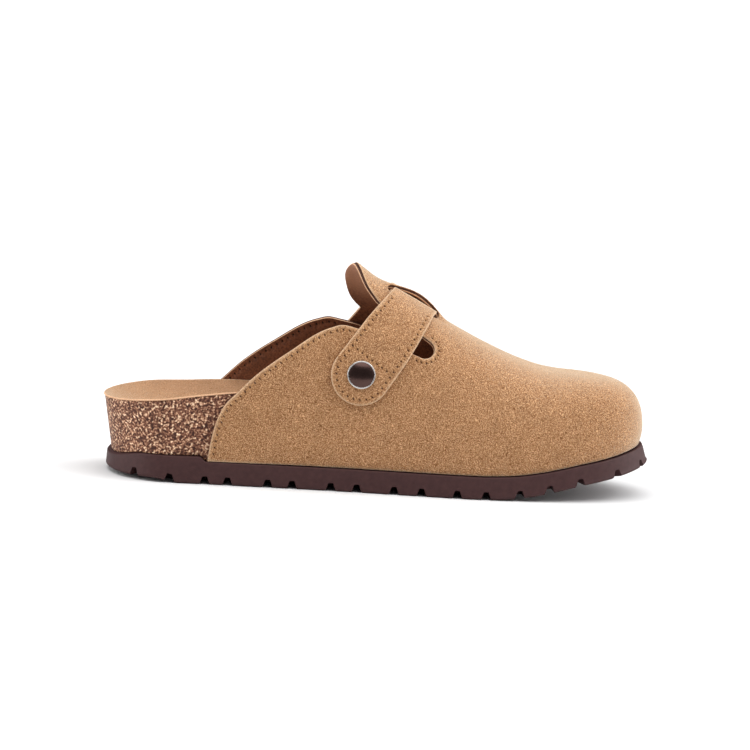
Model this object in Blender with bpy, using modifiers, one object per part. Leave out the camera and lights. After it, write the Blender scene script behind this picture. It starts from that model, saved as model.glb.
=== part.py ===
"""Footbed clog, left shoe: outsole, cork footbed, insole, one-piece suede upper, instep strap, two rivets.

Sizes are in millimetres and become metres when a mesh is made. +X is the toe, -Y the inner side of the
foot, +Y the outer side and +Z up. The ground is Z = 0, and ORIGIN is the middle of the footprint.

The upper's outer face is a last made of ribs. A rib starts on the ridge line (the crest of the instep) and
runs down to the feather line where the upper meets the sole. Ribs stand square to X along the foot and fan
out round the toe. The upper and strap are cut as flat patterns: the first pattern axis is X, and along
the second the distance round the rib from the ridge, negative on the inner side.
"""

import math

import bmesh
import bpy
import numpy as np
from mathutils import Vector
from mathutils.geometry import delaunay_2d_cdt

MM = 0.001
ORIGIN = (1.35, 2.0, 0.0)

# Plan of the outsole's top edge
HEEL_BACK_X = -124.5
HEEL_CENTRE_X = -96.0
BALL_X = 48.0
TOE_TIP_X = 126.9
HEEL_HALF_WIDTH = 33.0
BALL_INNER = 45.5
BALL_OUTER = 49.5
ARCH_HOLLOW = 2.2
ARCH_X = -8.0
ARCH_HALF_LENGTH = 62.0
TOE_ROUND = 2.25
HEEL_ROUND = 2.1
TOE_DRIFT = -5.0

# Ridge line of the last, and the two centres that its ribs fan out from
RIDGE_Y = -3.0
HEEL_FAN_X = -94.0
TOE_FAN_X = 88.0

# Outsole
SOLE_FLARE = 1.2
SOLE_TOE_FLARE = 1.6
SOLE_HEEL_FLARE = -1.0
SOLE_HEEL_TOP = 12.5
SOLE_FORE_TOP = 10.4
SOLE_STEP_X = (-84.2, -81.7)
SOLE_HEEL_DROP = 3.6
SOLE_HEEL_DROP_X = (-110.0, -127.0)
SOLE_TOE_THIN = 1.0
SOLE_TOE_THIN_X = (50.0, 105.0)
TOE_SPRING = (  # x, rise of the underside
    (48.0, 0.0),
    (62.0, 0.9),
    (76.0, 3.3),
    (92.0, 7.1),
    (108.0, 10.4),
    (121.0, 13.6),
    (130.0, 16.0),
)
HEEL_SPRING = 1.8
HEEL_SPRING_X = (-94.0, -106.0)
NOTCH_DEPTH = 3.8
NOTCH_MOUTH = 5.0
NOTCH_ROOF = 2.2
NOTCH_LENGTH = 13.0
NOTCH_OVERCUT = 4.0
NOTCH_PAIRS = 6
NOTCH_FIRST_PAIR_X = -76.4
NOTCH_PITCH = 29.6
NOTCH_HALF_GAP = 5.3
NOTCH_GAP_GROWTH = 0.35
NOTCH_TOE_ANGLES = (8.0, 37.0, 62.0)
NOTCH_HEEL_ANGLES = (7.6, 40.0)
HEEL_GROOVE_X = -122.0
HEEL_GROOVE_LENGTH = 35.0
HEEL_GROOVE_DEPTH = 2.2

# Last
WALL = 2.2
SEAT_GAP = 0.3
CLEARANCE = 0.4
UPPER_INSET = 0.3
TUCK = 1.4
TUCK_X = (-80.0, -30.0)
TUCK_HEIGHT = 9.0
CREST = (  # x, height of the ridge
    (-90.0, 143.0),
    (-12.0, 101.6),
    (10.0, 89.2),
    (32.0, 77.0),
    (52.0, 67.1),
    (67.0, 60.9),
    (80.0, 57.2),
    (88.0, 56.1),
)
CREST_TOE_SLOPE = -0.12
RIB_POWER = (  # x, superellipse power of the rib: 2 is an ellipse, more is squarer
    (-90.0, 1.9),
    (-20.0, 1.9),
    (20.0, 2.1),
    (50.0, 2.3),
    (88.0, 2.6),
)
TOE_POWER_RISE = 0.7
RIB_STEPS = 60

# Upper's pattern
TONGUE_END = (  # distance round from the ridge, x
    (-19.5, -4.3),
    (-14.5, -9.2),
    (-6.0, -12.5),
    (8.0, -14.6),
    (22.0, -15.6),
    (32.5, -11.0),
    (36.0, -6.0),
)
TONGUE_FLARE = 1.2
TONGUE_FLARE_X = (-3.0, -16.0)
TONGUE_FLARE_AROUND = (24.0, 36.0)
KEYHOLE_X = 17.8
KEYHOLE_Z = 67.5
KEYHOLE_RADIUS = 5.0
KEYHOLE_TILT = 0.25
QUARTER_EDGE = (  # x, height, from under the strap back over the corner and down to the sole
    (-15.0, 75.6),
    (-20.5, 76.6),
    (-26.0, 75.2),
    (-45.5, 63.3),
    (-61.7, 50.5),
    (-68.6, 43.3),
    (-74.0, 37.4),
    (-77.3, 30.4),
    (-79.6, 20.7),
    (-80.8, 8.0),
)
OUTER_QUARTER_DROP = 0.95

# Strap, rivets and the bridge of the tongue that the strap passes under
STRAP_AXIS = (  # x on the inner side, x on the outer side, height, half width
    (13.2, 13.9, 85.6, 11.3),
    (0.0, 5.2, 70.5, 13.5),
    (-11.7, -5.0, 54.2, 14.0),
)
STRAP_CROWN_X = 16.0
STRAP_CROWN_HALF_WIDTH = 11.0
STRAP_THICK = 2.0
STRAP_DIP = (4.4, 7.3)
SLIT_X = 13.7
SLIT_INNER = 4.0
SLIT_OUTER = 8.9
SLIT_HALF_LENGTH = 12.6
BRIDGE_X = 15.0
BRIDGE_RISE = 3.2
BRIDGE_TILT = 1.5
BRIDGE_HALF_LENGTH = 18.5
BRIDGE_GAP = 0.9
RIVET_CAP_RADIUS = 6.5
RIVET_CAP_HEIGHT = 2.2
RIVET_DOME = (  # share of the cap's radius, share of its height
    (0.45, 0.92),
    (0.78, 0.7),
)
RIVET_RIM_HEIGHT = 0.9
RIVET_SHANK_RADIUS = 2.0
RIVET_HOLE_RADIUS = 2.4
RIVET_BACK_RADIUS = 4.6
RIVET_BACK_THICK = 0.8
RIVET_BACK_GAP = 0.8

# Footbed and insole: heights of the finished top, where the foot rests
RIM_HEIGHT = (  # x, inner rim, outer rim
    (-130.0, 35.2, 35.2),
    (-110.0, 38.1, 37.4),
    (-87.0, 40.9, 39.4),
    (-68.6, 43.3, 40.3),
    (-40.0, 44.5, 39.0),
    (-10.0, 39.0, 34.0),
    (25.0, 30.0, 28.5),
    (60.0, 25.5, 25.5),
    (90.0, 27.5, 27.5),
    (126.0, 33.0, 33.0),
)
BED_HEIGHT = (  # x, middle of the bed
    (-94.0, 25.0),
    (-60.0, 25.5),
    (-30.0, 29.0),
    (0.0, 27.0),
    (40.0, 21.5),
    (60.0, 20.5),
    (88.0, 23.0),
)
RIM_BLEND = 0.6
CUP_POWER = 2.8
CORK_INSET = 1.5
CORK_LEAN_BACK = 4.2
CORK_LEAN_SIDE = 1.0
CORK_UNDER_UPPER_X = (-104.0, -84.0)
INSOLE_THICK = 1.2

# Fineness of the meshes
UPPER_SPACING = 5.6
STRAP_SPACING = 2.8
STRAP_AXIS_STEP = 2.4
GRID_CLEARANCE = 0.62
STATION_STEP = 9.0
FAN_STEPS = 9
ROUND_STEPS = 22
KEYHOLE_STEPS = 9
SLIT_END_STEPS = 7
HOLE_STEPS = 12
TAB_STEPS = 13
SHARP_ANGLE = 40.0

# Rings of the solids, as shares of the way out from the ridge line or up the cork's side
SOLE_TOP_RINGS = (0.0, 0.6, 0.85, 1.0)
SOLE_BOTTOM_RINGS = (1.0, 0.8, 0.5, 0.0)
BED_RINGS = (0.0, 0.35, 0.6, 0.8, 0.93, 1.0)
CORK_SIDE_RINGS = (0.66, 0.33, 0.0)
CORK_BASE_RINGS = (0.85, 0.6, 0.0)

# Limits of the searches and welds
FARTHEST = 150.0
HALVINGS = 36
TINY = 1e-9
WELD = 1e-6
PATTERN_WELD = 1e-5
TURN_WELD = 1e-5

# Colours: linear red, green, blue, then roughness and metallic
FINISHES = {
    "suede": ((0.50, 0.28, 0.12), 0.95, 0.0),
    "insole_suede": ((0.56, 0.34, 0.17), 0.95, 0.0),
    "cork": ((0.20, 0.10, 0.05), 0.85, 0.0),
    "outsole_foam": ((0.05, 0.024, 0.02), 0.75, 0.0),
    "gunmetal": ((0.05, 0.045, 0.04), 0.3, 1.0),
}


def smooth(value, start, end):
    """0 up to start, 1 from end on, and an S-shaped rise between."""
    t = np.clip((value - start) / (end - start), 0.0, 1.0)
    return t * t * (3.0 - 2.0 * t)


def curve(x, rows, column=1):
    """A smooth curve through the rows of a table, level past its ends."""
    knots = np.array([row[0] for row in rows])
    values = np.array([row[column] for row in rows])
    slopes = np.gradient(values, knots)
    x = np.clip(x, knots[0], knots[-1])
    i = np.clip(np.searchsorted(knots, x) - 1, 0, len(knots) - 2)
    span = knots[i + 1] - knots[i]
    t = (x - knots[i]) / span
    rise = values[i + 1] - values[i]
    bend_in = slopes[i] * span - rise
    bend_out = rise - slopes[i + 1] * span
    return values[i] + t * rise + t * (1 - t) * ((1 - t) * bend_in + t * bend_out)


# Plan and sole heights


def centre_line(x):
    """Sideways drift of the outline towards the big toe."""
    return TOE_DRIFT * np.clip((x - BALL_X) / (TOE_TIP_X - BALL_X), 0, 1) ** 2


def half_width(x, side):
    """Half width of the outsole's top edge on the inner (side < 0) or outer side."""
    ball = np.where(side < 0, BALL_INNER, BALL_OUTER)
    width = HEEL_HALF_WIDTH + (ball - HEEL_HALF_WIDTH) * smooth(x, HEEL_CENTRE_X, BALL_X)
    hollow = np.clip(1 - ((x - ARCH_X) / ARCH_HALF_LENGTH) ** 2, 0, 1) ** 2
    width = width - np.where(side < 0, ARCH_HOLLOW, 0.0) * hollow
    toe = np.clip((x - BALL_X) / (TOE_TIP_X - BALL_X), 0, 1)
    heel = np.clip((HEEL_CENTRE_X - x) / (HEEL_CENTRE_X - HEEL_BACK_X), 0, 1)
    toe_round = (1 - toe**TOE_ROUND) ** (1 / TOE_ROUND)
    heel_round = (1 - heel**HEEL_ROUND) ** (1 / HEEL_ROUND)
    return width * toe_round * heel_round


def reach(start_x, along, across):
    """Distance from the ridge line to the outline, in the plan direction (along, across)."""
    near = np.zeros_like(start_x)
    far = np.full_like(start_x, FARTHEST)
    for _ in range(HALVINGS):
        middle = (near + far) / 2
        x = start_x + middle * along
        y = RIDGE_Y + middle * across - centre_line(x)
        inside = np.abs(y) < half_width(x, y)
        near = np.where(inside, middle, near)
        far = np.where(inside, far, middle)
    return near


def sole_flare(along):
    """How far the tread stands out past the sole's top edge."""
    toe = SOLE_TOE_FLARE * np.maximum(along, 0.0) ** 2
    heel = SOLE_HEEL_FLARE * np.maximum(-along, 0.0) ** 2
    return SOLE_FLARE + toe + heel


def sole_bottom(x):
    return curve(x, TOE_SPRING) + HEEL_SPRING * smooth(x, *HEEL_SPRING_X)


def sole_top(x):
    step = SOLE_HEEL_TOP + (SOLE_FORE_TOP - SOLE_HEEL_TOP) * smooth(x, *SOLE_STEP_X)
    drop = SOLE_HEEL_DROP * smooth(x, *SOLE_HEEL_DROP_X) + SOLE_TOE_THIN * smooth(x, *SOLE_TOE_THIN_X)
    return curve(x, TOE_SPRING) + step - drop


# The last


def rib_of(x, around):
    """Where a pattern point's rib starts, the plan direction of the rib, and the distance down it."""
    start_x = np.clip(x, HEEL_FAN_X, TOE_FAN_X)
    down = np.hypot(x - start_x, around)
    safe = np.maximum(down, TINY)
    along = np.where(down > TINY, (x - start_x) / safe, 0.0)
    across = np.where(down > TINY, around / safe, 1.0)
    return start_x, along, across, down


def rib_profile(start_x, along, across):
    """Distances out, heights and girths down each rib, from the ridge to the feather line."""
    out = reach(start_x, along, across)
    edge_x = start_x + out * along
    low = sole_top(edge_x) + SEAT_GAP
    deep = TUCK * smooth(edge_x, *TUCK_X)
    out = out - UPPER_INSET
    high = curve(start_x, CREST)
    power = curve(start_x, RIB_POWER) + TOE_POWER_RISE * np.maximum(along, 0.0)
    turn = np.linspace(0.0, math.pi / 2, RIB_STEPS)[None, :]
    out, low, high, power = out[:, None], low[:, None], high[:, None], power[:, None]
    height = low + (high - low) * np.cos(turn) ** (2 / power)
    tuck = deep[:, None] * np.clip(1 - (height - low) / TUCK_HEIGHT, 0, 1) ** 2
    distance = out * np.sin(turn) ** (2 / power) - tuck
    fade = np.clip(1 - distance / out, 0, 1) ** 2
    height = height + CREST_TOE_SLOPE * distance * along[:, None] * fade
    steps = np.hypot(np.diff(distance, axis=1), np.diff(height, axis=1))
    girth = np.concatenate([np.zeros((len(steps), 1)), np.cumsum(steps, axis=1)], axis=1)
    return distance, height, girth


def last_point(x, around):
    """Points of the upper's outer face for pattern points."""
    start_x, along, across, down = rib_of(x, around)
    distance, height, girth = rib_profile(start_x, along, across)
    row = np.arange(len(down))
    i = np.clip((girth < down[:, None]).sum(axis=1), 1, RIB_STEPS - 1)
    t = np.clip((down - girth[row, i - 1]) / (girth[row, i] - girth[row, i - 1]), 0, 1)
    out = distance[row, i - 1] * (1 - t) + distance[row, i] * t
    z = height[row, i - 1] * (1 - t) + height[row, i] * t
    return np.stack([start_x + along * out, RIDGE_Y + across * out, z], axis=1)


def last_normal(x, around, step=0.6):
    ahead = last_point(x + step, around) - last_point(x - step, around)
    round_rib = last_point(x, around + step) - last_point(x, around - step)
    normal = np.cross(ahead, round_rib)
    return normal / np.linalg.norm(normal, axis=1)[:, None]


def lifted(x, around, lift):
    """Points that stand lift above the last, along its normal."""
    return last_point(x, around) + last_normal(x, around) * np.asarray(lift)[:, None]


def girth_at(x, z, side):
    """Distance round from the ridge to height z, on the rib at x."""
    start = np.array([float(x)])
    _, height, girth = rib_profile(start, np.zeros(1), np.array([float(side)]))
    return float(np.interp(z, height[0, ::-1], girth[0, ::-1]))


def feather_girth(start_x, angle, side):
    """Full length of a rib; angle 0 stands square to X and 90 degrees points straight ahead."""
    _, _, girth = rib_profile(
        np.array([float(start_x)]), np.array([math.sin(angle)]), np.array([side * math.cos(angle)])
    )
    return float(girth[0, -1])


def wall_reach(start_x, along, across, z):
    """Distance out to the upper's outer face at height z, for each rib."""
    distance, height, _ = rib_profile(start_x, along, across)
    rows = zip(np.broadcast_to(z, start_x.shape), height, distance)
    return np.array([np.interp(level, h[::-1], d[::-1]) for level, h, d in rows])


# Flat patterns


def square_to(centre, ahead, step=0.5):
    """Pattern steps that come out 1 mm ahead, and 1 mm to the left of that, once laid on the last."""
    x, around = np.array([[centre[0]], [centre[1]]], float)
    by_x = (last_point(x + step, around) - last_point(x - step, around))[0] / (2 * step)
    by_around = (last_point(x, around + step) - last_point(x, around - step))[0] / (2 * step)
    both = np.stack([by_x, by_around])
    metric = both @ both.T
    ahead = np.array(ahead, float)
    ahead = ahead / math.sqrt(ahead @ metric @ ahead)
    level = metric @ ahead
    left = np.array([-level[1], level[0]])
    return ahead, left / math.sqrt(left @ metric @ left)


def arc(centre, ahead, radius, start, end, steps):
    """Pattern points that lie on a true arc once laid on the last. Angle 0 is ahead."""
    forward, left = square_to(centre, ahead)
    angles = np.radians(np.linspace(start, end, steps))[:, None]
    points = np.array(centre) + radius * (np.cos(angles) * forward + np.sin(angles) * left)
    return [tuple(point) for point in points]


def spaced(points, spacing):
    """A smooth open curve through the points, as evenly spaced points with both ends."""
    points = np.array(points, float)
    run = np.concatenate([[0], np.cumsum(np.hypot(*np.diff(points, axis=0).T))])
    count = max(2, int(round(run[-1] / spacing)) + 1)
    at = np.linspace(0, run[-1], count)
    columns = [curve(at, list(zip(run, points[:, axis]))) for axis in (0, 1)]
    return list(zip(*columns))


def inside_loops(points, loops):
    """True for points inside the first loop and outside the others."""
    inside = np.zeros(len(points), bool)
    for loop in loops:
        start = np.array(loop)
        end = np.roll(start, -1, axis=0)
        for (x0, y0), (x1, y1) in zip(start, end):
            if y0 == y1:
                continue
            crosses = (points[:, 1] < y0) != (points[:, 1] < y1)
            cut_x = x0 + (points[:, 1] - y0) / (y1 - y0) * (x1 - x0)
            inside ^= crosses & (points[:, 0] < cut_x)
    return inside


def patch(loops, spacing):
    """Even triangles over the first loop less the other loops, as pattern points and faces."""
    border = np.array([point for loop in loops for point in loop])
    low, high = border.min(axis=0), border.max(axis=0)
    row_step = spacing * math.sqrt(3) / 2
    grid = []
    for row in range(int((high[1] - low[1]) / row_step) + 1):
        shift = spacing / 2 * (row % 2)
        for column in range(int((high[0] - low[0]) / spacing) + 1):
            grid.append((low[0] + shift + column * spacing, low[1] + row * row_step))
    grid = np.array(grid)
    gaps = np.linalg.norm(grid[:, None, :] - border[None, :, :], axis=2).min(axis=1)
    grid = grid[inside_loops(grid, loops) & (gaps > GRID_CLEARANCE * spacing)]
    edges = []
    first = 0
    for loop in loops:
        count = len(loop)
        edges += [(first + i, first + (i + 1) % count) for i in range(count)]
        first += count
    corners = [Vector(point) for point in np.concatenate([border, grid])]
    points, _, faces, *_ = delaunay_2d_cdt(corners, edges, [], 0, PATTERN_WELD)
    points = np.array([tuple(point) for point in points])
    faces = np.array([tuple(face) for face in faces])
    kept = inside_loops(points[faces].mean(axis=1), loops)
    return points, faces[kept]


def circle(centre, radius, steps):
    return arc(centre, (1.0, 0.0), radius, 0.0, 360.0 * (steps - 1) / steps, steps)


def upper_half(side):
    """Half of the upper's outline, from the tongue's end round the quarter to the front of the toe."""
    corner_around, corner_x = TONGUE_END[0] if side < 0 else TONGUE_END[-1]
    hole = (KEYHOLE_X, side * girth_at(KEYHOLE_X, KEYHOLE_Z, side))
    mouth = (1.0, side * KEYHOLE_TILT)
    keyhole = arc(hole, mouth, KEYHOLE_RADIUS, -90 * side, 90 * side, KEYHOLE_STEPS)
    tongue_side = spaced([(corner_x, corner_around), keyhole[0]], UPPER_SPACING)
    drop = 1.0 if side < 0 else OUTER_QUARTER_DROP
    edge = [(x, side * girth_at(x, z * drop, side)) for x, z in QUARTER_EDGE]
    quarter = spaced([keyhole[-1]] + edge, UPPER_SPACING)
    rear_x = QUARTER_EDGE[-1][0]
    stations = np.linspace(rear_x, TOE_FAN_X, int((TOE_FAN_X - rear_x) / UPPER_SPACING))
    feather = [(x, side * feather_girth(x, 0.0, side)) for x in stations[1:]]
    for angle in np.linspace(0, math.pi / 2, 2 * FAN_STEPS)[1:-1]:
        length = feather_girth(TOE_FAN_X, angle, side)
        feather.append((TOE_FAN_X + length * math.sin(angle), side * length * math.cos(angle)))
    return tongue_side + keyhole[1:-1] + quarter + feather


def bridge_rise(x, around):
    """Height of the bridge of the tongue over the strap, which is highest along the inner slit."""
    from_middle = (x - BRIDGE_X) / BRIDGE_HALF_LENGTH
    hump = np.clip(1 - from_middle**2, 0, 1) ** 2
    return hump * (BRIDGE_RISE - BRIDGE_TILT * np.clip(around / SLIT_INNER, -1, 1))


def upper_lift(x, around):
    bridge = bridge_rise(x, around) * (1 - smooth(np.abs(around), SLIT_INNER, SLIT_OUTER))
    near_ridge = 1 - smooth(np.abs(around), *TONGUE_FLARE_AROUND)
    return bridge + TONGUE_FLARE * smooth(x, *TONGUE_FLARE_X) * near_ridge


def slit(side):
    """A round-ended slit in the tongue for the strap."""
    radius = (SLIT_OUTER - SLIT_INNER) / 2
    middle = side * (SLIT_INNER + SLIT_OUTER) / 2
    straight = SLIT_HALF_LENGTH - radius
    front = arc((SLIT_X + straight, middle), (1.0, 0.0), radius, -90, 90, SLIT_END_STEPS)
    back = arc((SLIT_X - straight, middle), (1.0, 0.0), radius, 90, 270, SLIT_END_STEPS)
    top = spaced([front[-1], back[0]], UPPER_SPACING)[1:-1]
    bottom = spaced([back[-1], front[0]], UPPER_SPACING)[1:-1]
    return front + top + back + bottom


def strap_half(side):
    """Pattern points of half the strap's axis, from the ridge to the rivet, with the half width at each."""
    axis = [(STRAP_CROWN_X, 0.0, STRAP_CROWN_HALF_WIDTH)]
    for inner_x, outer_x, z, half in STRAP_AXIS:
        x = inner_x if side < 0 else outer_x
        axis.append((x, side * girth_at(x, z, side), half))
    return axis


def rivet_place(side):
    x, around, _ = strap_half(side)[-1]
    return x, around


def upper_loops():
    tongue_end = spaced([(x, around) for around, x in TONGUE_END[::-1]], UPPER_SPACING)[1:-1]
    front = (TOE_FAN_X + feather_girth(TOE_FAN_X, math.pi / 2, 1), 0.0)
    outline = upper_half(-1) + [front] + upper_half(1)[::-1] + tongue_end
    holes = [slit(-1), slit(1)]
    holes += [circle(rivet_place(side), RIVET_HOLE_RADIUS, HOLE_STEPS) for side in (-1, 1)]
    return [outline] + holes


def strap_loops():
    rows = strap_half(-1)[::-1] + strap_half(1)[1:]
    points = np.array([row[:2] for row in rows])
    run = np.concatenate([[0], np.cumsum(np.hypot(*np.diff(points, axis=0).T))])
    at = np.linspace(0, run[-1], int(run[-1] / STRAP_AXIS_STEP))
    x = curve(at, list(zip(run, points[:, 0])))
    around = curve(at, list(zip(run, points[:, 1])))
    half = curve(at, list(zip(run, [row[2] for row in rows])))
    ahead = np.stack([np.gradient(x, at), np.gradient(around, at)], axis=1)
    middle = np.stack([x, around], axis=1)
    square = np.array([square_to(point, way)[1] for point, way in zip(middle, ahead)])
    left = [tuple(point) for point in middle + square * half[:, None]]
    right = [tuple(point) for point in middle - square * half[:, None]]
    tab = half[-1]
    outer_tab = arc(middle[-1], ahead[-1], tab, -90, 90, TAB_STEPS)
    inner_tab = arc(middle[0], -ahead[0], tab, -90, 90, TAB_STEPS)
    outline = right[1:-1] + outer_tab + left[-2:0:-1] + inner_tab
    return [outline] + [circle(rivet_place(side), RIVET_HOLE_RADIUS, HOLE_STEPS) for side in (-1, 1)]


def strap_lift(x, around):
    """Height of the strap's outer face: on the quarters outside the slits, and under the bridge between."""
    over = CLEARANCE + STRAP_THICK
    under = bridge_rise(x, around) - WALL - BRIDGE_GAP
    return under + (over - under) * smooth(np.abs(around), *STRAP_DIP)


# Objects


def placed(points):
    """Points in metres from the middle of the footprint."""
    return (np.asarray(points) - ORIGIN) * MM


def finish(name):
    """The named material, made once."""
    material = bpy.data.materials.get(name)
    if material:
        return material
    colour, roughness, metallic = FINISHES[name]
    material = bpy.data.materials.new(name)
    material.use_nodes = True
    shader = material.node_tree.nodes["Principled BSDF"]
    shader.inputs["Base Color"].default_value = (*colour, 1.0)
    shader.inputs["Roughness"].default_value = roughness
    shader.inputs["Metallic"].default_value = metallic
    return material


def add_object(name, points, faces, collection, finish_name=None):
    mesh = bpy.data.meshes.new(name)
    mesh.from_pydata(placed(points).tolist(), [], np.asarray(faces).tolist())
    thing = bpy.data.objects.new(name, mesh)
    collection.objects.link(thing)
    if finish_name:
        mesh.materials.append(finish(finish_name))
    mesh.shade_smooth()
    mesh.set_sharp_from_angle(angle=math.radians(SHARP_ANGLE))
    return thing


def add_shell(name, loops, spacing, lift, thick, collection):
    """A sheet cut as a flat pattern, laid on the last and thickened inwards."""
    pattern, faces = patch(loops, spacing)
    x, around = pattern.T
    points = lifted(x, around, lift(x, around))
    shell = add_object(name, points, faces, collection, "suede")
    solidify = shell.modifiers.new("wall", "SOLIDIFY")
    solidify.thickness = thick * MM
    solidify.offset = -1.0
    return shell


def spokes():
    """Plan rays from the ridge line to the outline, in order round the shoe."""
    fan = np.linspace(math.pi / 2, 0, FAN_STEPS)[:-1]
    count = int((TOE_FAN_X - HEEL_FAN_X) / STATION_STEP)
    stations = np.sort(np.concatenate([np.linspace(HEEL_FAN_X, TOE_FAN_X, count), SOLE_STEP_X]))
    rays = [(HEEL_FAN_X, -math.sin(a), -math.cos(a)) for a in fan]
    rays += [(x, 0.0, -1.0) for x in stations]
    rays += [(TOE_FAN_X, math.sin(a), -math.cos(a)) for a in fan[::-1]]
    mirrored = [(x, along, -across) for x, along, across in rays[1:-1]]
    return np.array(rays + mirrored[::-1]).T


def ring(rays, distance, height):
    """A ring of points at the given distance out on each ray. Height is an array or a function of x."""
    start_x, along, across = rays
    x = start_x + along * distance
    z = height(x) if callable(height) else height
    return np.stack([x, RIDGE_Y + across * distance, np.broadcast_to(z, x.shape)], axis=1)


def add_rings(name, rings, collection, finish_name):
    """A closed solid skinned over rings, whose first and last lie along the ridge line."""
    count = len(rings[0])
    points = np.concatenate(rings)
    faces = []
    for level in range(len(rings) - 1):
        for i in range(count):
            here, there = level * count + i, level * count + (i + 1) % count
            faces.append((here, there, there + count, here + count))
    thing = add_object(name, points, faces, collection, finish_name)
    shape = bmesh.new()
    shape.from_mesh(thing.data)
    bmesh.ops.remove_doubles(shape, verts=shape.verts, dist=WELD)
    bmesh.ops.dissolve_degenerate(shape, edges=shape.edges, dist=WELD)
    bmesh.ops.triangulate(shape, faces=shape.faces)
    bmesh.ops.recalc_face_normals(shape, faces=shape.faces)
    shape.to_mesh(thing.data)
    shape.free()
    return thing


def notch_rays():
    """Plan rays, lengths and depths of the tread's notches along the sides, toe and heel, and of a heel groove."""
    rays = []
    for pair in range(NOTCH_PAIRS):
        middle = NOTCH_FIRST_PAIR_X + pair * NOTCH_PITCH
        gap = NOTCH_HALF_GAP + pair * NOTCH_GAP_GROWTH
        rays += [(middle - gap, 0.0), (middle + gap, 0.0)]
    rays += [(TOE_FAN_X, math.radians(angle)) for angle in NOTCH_TOE_ANGLES]
    rays += [(HEEL_FAN_X, -math.radians(angle)) for angle in NOTCH_HEEL_ANGLES]
    cut = (NOTCH_LENGTH, NOTCH_DEPTH)
    bars = [(x, math.sin(a), side * math.cos(a), *cut) for x, a in rays for side in (-1, 1)]
    bars.append((HEEL_GROOVE_X, 0.0, -1.0, HEEL_GROOVE_LENGTH, HEEL_GROOVE_DEPTH))
    return np.array(bars).T


def add_notch_cutter(collection):
    """Tapered bars that point inwards from the tread's edge, one for each notch."""
    shape = bmesh.new()
    mouth = NOTCH_MOUTH + (NOTCH_MOUTH - NOTCH_ROOF) * NOTCH_OVERCUT / NOTCH_DEPTH
    *rays, lengths, depths = notch_rays()
    edges = reach(*rays) + sole_flare(rays[1])
    for start_x, along, across, length, depth, edge in zip(*rays, lengths, depths, edges):
        made = bmesh.ops.create_cube(shape, size=1.0)
        for vert in made["verts"]:
            top = vert.co.z > 0
            sideways = vert.co.x * (NOTCH_ROOF if top else mouth)
            out = edge + NOTCH_OVERCUT if vert.co.y > 0 else edge - length
            x = start_x + along * out + across * sideways
            y = RIDGE_Y + across * out - along * sideways
            z = float(sole_bottom(x)) + (depth if top else -NOTCH_OVERCUT)
            vert.co = placed((x, y, z))
    mesh = bpy.data.meshes.new("notch_cutter")
    shape.to_mesh(mesh)
    shape.free()
    cutter = bpy.data.objects.new("notch_cutter", mesh)
    collection.objects.link(cutter)
    cutter.hide_render = True
    cutter.display_type = "WIRE"
    return cutter


def add_outsole(rays, parts, cutters):
    edge = reach(*rays)
    top = [ring(rays, edge * share, sole_top) for share in SOLE_TOP_RINGS]
    foot = edge + sole_flare(rays[1])
    bottom = [ring(rays, foot * share, sole_bottom) for share in SOLE_BOTTOM_RINGS]
    sole = add_rings("outsole", top + bottom, parts, "outsole_foam")
    cut = sole.modifiers.new("tread_notches", "BOOLEAN")
    cut.operation = "DIFFERENCE"
    cut.object = add_notch_cutter(cutters)
    return sole


def bed_edge(rays, z):
    """Distance out to the cork's side at height z: inside the upper, or flush with the sole at the heel."""
    edge = reach(*rays)
    edge_x = rays[0] + edge * rays[1]
    within = wall_reach(*rays, z) - WALL - CLEARANCE - SEAT_GAP
    back = np.maximum(-rays[1], 0.0)
    lean = CORK_LEAN_SIDE + (CORK_LEAN_BACK - CORK_LEAN_SIDE) * back**2
    rise = (z - SOLE_HEEL_TOP) / (RIM_HEIGHT[0][1] - SOLE_HEEL_TOP)
    heel = edge - CORK_INSET + lean * rise
    return heel + (within - heel) * smooth(edge_x, *CORK_UNDER_UPPER_X)


def rim_height(rays):
    edge_x = rays[0] + reach(*rays) * rays[1]
    column = [curve(edge_x, RIM_HEIGHT, side) for side in (1, 2)]
    inner_share = smooth(-rays[2], -RIM_BLEND, RIM_BLEND)
    return column[1] + (column[0] - column[1]) * inner_share


def bed_rings(rays, sink):
    """Rings of the bed's top from the ridge line to the rim, sunk below the finished height."""
    rim = rim_height(rays) - sink
    middle = curve(rays[0], BED_HEIGHT) - sink
    edge = bed_edge(rays, rim)
    return [ring(rays, edge * s, middle + (rim - middle) * s**CUP_POWER) for s in BED_RINGS]


def add_footbed(rays, parts):
    sink = INSOLE_THICK + SEAT_GAP
    top = bed_rings(rays, sink)
    rim = rim_height(rays) - sink
    edge = reach(*rays)
    foot_x = rays[0] + (edge - CORK_INSET) * rays[1]
    low = sole_top(foot_x) + SEAT_GAP
    side = []
    for share in CORK_SIDE_RINGS:
        level = low + (rim - low) * share
        side.append(ring(rays, bed_edge(rays, level), level))
    bottom = [ring(rays, edge * s, lambda x: sole_top(x) + SEAT_GAP) for s in CORK_BASE_RINGS]
    return add_rings("footbed", top + side + bottom, parts, "cork")


def add_insole(rays, parts):
    top = bed_rings(rays, 0.0)
    bottom = bed_rings(rays, INSOLE_THICK)
    return add_rings("insole", top + bottom[::-1], parts, "insole_suede")


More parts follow.
